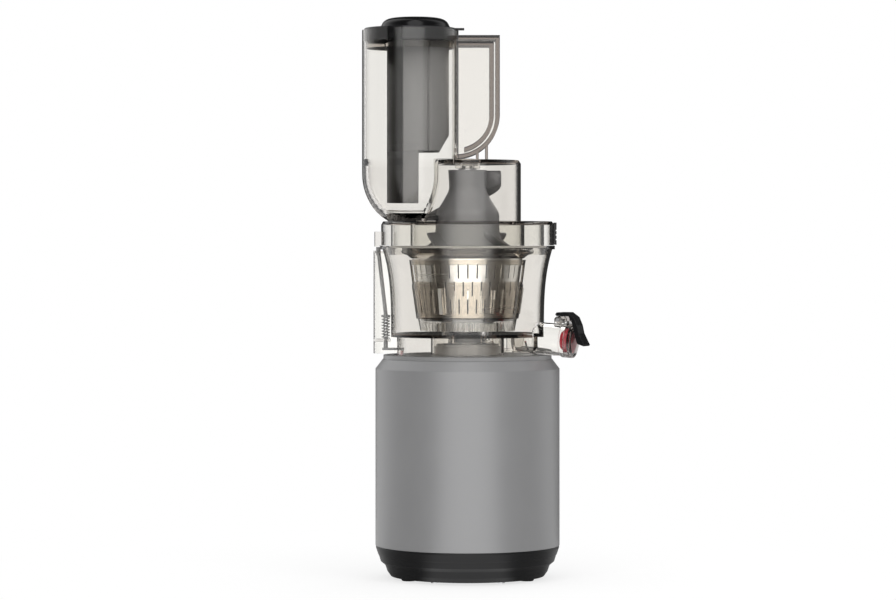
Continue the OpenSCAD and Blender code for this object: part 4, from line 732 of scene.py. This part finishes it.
class JUICER_OT_stage(JuicerPiece):
    """Pale floor, soft boxes, world and the camera at the photograph's angle."""

    bl_idname = "juicer.stage"
    bl_label = "Stage"

    def execute(self, context):
        scene = context.scene
        scene.view_settings.view_transform = "Standard"
        floor = bpy.data.meshes.new("floor")
        reach = FLOOR_REACH
        floor.from_pydata([(-reach, -reach, 0), (reach, -reach, 0), (reach, reach, 0),
                           (-reach, reach, 0)], [], [(0, 1, 2, 3)])
        floor_obj = bpy.data.objects.new("floor", floor)
        scene.collection.objects.link(floor_obj)
        floor.materials.append(self.floor_finish())
        self.world(scene)
        for lamp in LAMPS:
            self.lamp(*lamp)
        self.camera(scene)
        return {"FINISHED"}

    def cards(self, tree, direction):
        """Light from a direction: straight rays meet plain white, and rays that gloss has
        mirrored meet light and dark cards that stand round the object.

        Returns four sockets: whether the ray came straight, whether gloss has mirrored it, the
        level of the cards in that direction, and whether it is a diffuse ray.
        """
        parts = tree.nodes.new("ShaderNodeSeparateXYZ")
        link(tree, direction, parts.inputs[0])
        turn = math_node(tree, "ARCTAN2", parts.outputs["Y"], parts.outputs["X"])
        strips = tree.nodes.new("ShaderNodeValToRGB")
        ramp = strips.color_ramp
        for turned_to, level in SOFT_BOXES:
            where = (turned_to + 180) / 360
            if turned_to == -180:
                stop = ramp.elements[0]
            elif turned_to == 180:
                stop = ramp.elements[-1]
            else:
                stop = ramp.elements.new(where)
            stop.position = where
            stop.color = (level, level, level, 1)
        link(tree, math_node(tree, "DIVIDE", math_node(tree, "ADD", turn, math.pi), 2 * math.pi),
             strips.inputs[0])
        path = tree.nodes.new("ShaderNodeLightPath")
        mirrored = math_node(tree, "MINIMUM", path.outputs["Glossy Depth"], 1.0)
        through = math_node(tree, "MULTIPLY", path.outputs["Is Transmission Ray"],
                            math_node(tree, "SUBTRACT", 1.0, mirrored))
        straight = math_node(tree, "MAXIMUM", path.outputs["Is Camera Ray"], through)
        after = math_node(tree, "MULTIPLY", path.outputs["Is Transmission Ray"], mirrored)
        in_gloss = math_node(tree, "MAXIMUM", path.outputs["Is Glossy Ray"], after)
        return straight, in_gloss, strips.outputs[0], path.outputs["Is Diffuse Ray"]

    def floor_finish(self):
        """Pale floor: white to the camera, with the object's shadow mixed in near it."""
        material = bpy.data.materials.new("pale_floor")
        material.use_nodes = True
        tree = material.node_tree
        tree.nodes.clear()
        new = tree.nodes.new
        diffuse, glow = new("ShaderNodeBsdfDiffuse"), new("ShaderNodeEmission")
        set_inputs(diffuse, Color=(0.9, 0.9, 0.9, 1))
        place, far = new("ShaderNodeTexCoord"), new("ShaderNodeVectorMath")
        straight, in_gloss, level, _ = self.cards(tree, place.outputs["Object"])
        link(tree, math_node(tree, "ADD", straight, math_node(tree, "MULTIPLY", in_gloss, level)),
             glow.inputs["Strength"])
        far.operation = "LENGTH"
        link(tree, place.outputs["Object"], far.inputs[0])
        share = new("ShaderNodeMapRange")
        share.interpolation_type = "SMOOTHSTEP"
        set_inputs(share, From_Min=0.08, From_Max=0.45, To_Min=0.72)
        link(tree, far.outputs["Value"], share.inputs["Value"])
        mix, out = new("ShaderNodeMixShader"), new("ShaderNodeOutputMaterial")
        seen = math_node(tree, "MAXIMUM", straight, in_gloss)
        link(tree, math_node(tree, "MULTIPLY", seen, share.outputs["Result"]), mix.inputs[0])
        link(tree, diffuse.outputs[0], mix.inputs[1])
        link(tree, glow.outputs[0], mix.inputs[2])
        link(tree, mix.outputs[0], out.inputs["Surface"])
        return material

    def world(self, scene):
        """White to the camera and straight through clear walls, the cards in gloss, and plain
        soft light elsewhere."""
        world = bpy.data.worlds.new("studio")
        scene.world = world
        world.use_nodes = True
        tree = world.node_tree
        tree.nodes.clear()
        place = tree.nodes.new("ShaderNodeTexCoord")
        straight, in_gloss, level, diffuse = self.cards(tree, place.outputs["Generated"])
        glossy = math_node(tree, "MULTIPLY", in_gloss, level)
        soft = math_node(tree, "MULTIPLY", diffuse, SOFT_LEVEL)
        total = math_node(tree, "MAXIMUM", straight, math_node(tree, "MAXIMUM", glossy, soft))
        back = tree.nodes.new("ShaderNodeBackground")
        out = tree.nodes.new("ShaderNodeOutputWorld")
        link(tree, total, back.inputs["Strength"])
        set_inputs(back, Color=(1, 1, 1, 1))
        link(tree, back.outputs[0], out.inputs["Surface"])

    def lamp(self, name, place, aim, size, power):
        """A rectangular soft box that faces a point and doesn't show in gloss."""
        data = bpy.data.lights.new(name, "AREA")
        data.shape = "RECTANGLE"
        data.size, data.size_y = size
        data.energy = power
        lamp = bpy.data.objects.new(name, data)
        bpy.context.scene.collection.objects.link(lamp)
        direction = Vector(aim) - Vector(place)
        lamp.location = place
        lamp.visible_glossy = False
        lamp.rotation_euler = direction.to_track_quat("-Z", "Y").to_euler()

    def camera(self, scene):
        """Level camera with the photograph's focal length, height and small shift."""
        data = bpy.data.cameras.new("camera")
        data.sensor_width = 36.0
        data.lens = CAMERA_LENS
        data.shift_y = CAMERA_SHIFT
        data.clip_end = 100
        camera = bpy.data.objects.new("camera", data)
        scene.collection.objects.link(camera)
        camera.location = CAMERA_AT
        camera.rotation_euler = (math.radians(90), 0, 0)
        scene.camera = camera


class JUICER_PT_panel(Panel):
    """Sidebar panel that lists the juicer's settings and steps."""

    bl_idname = "JUICER_PT_panel"
    bl_label = "Slow juicer"
    bl_space_type = "VIEW_3D"
    bl_region_type = "UI"
    bl_category = "Juicer"

    def draw(self, context):
        layout = self.layout
        for group in (context.scene.juicer_colours, context.scene.juicer_shapes):
            for name in group.__annotations__:
                layout.prop(group, name)
        for operator in STEPS:
            layout.operator(operator.bl_idname)


STEPS = (JUICER_OT_finishes, JUICER_OT_auger, JUICER_OT_pusher, JUICER_OT_stage)
CLASSES = (JuicerColours, JuicerShapes, *STEPS, JUICER_PT_panel)


def register():
    """Registers the classes and the scene's settings."""
    for item in CLASSES:
        bpy.utils.register_class(item)
    bpy.types.Scene.juicer_colours = PointerProperty(type=JuicerColours)
    bpy.types.Scene.juicer_shapes = PointerProperty(type=JuicerShapes)


def unregister():
    """Takes the settings and classes away again."""
    del bpy.types.Scene.juicer_shapes
    del bpy.types.Scene.juicer_colours
    for item in reversed(CLASSES):
        bpy.utils.unregister_class(item)


def main():
    """Runs every step in order."""
    register()
    for step in STEPS:
        getattr(bpy.ops.juicer, step.bl_idname.split(".")[1])()


if __name__ == "__main__":
    main()
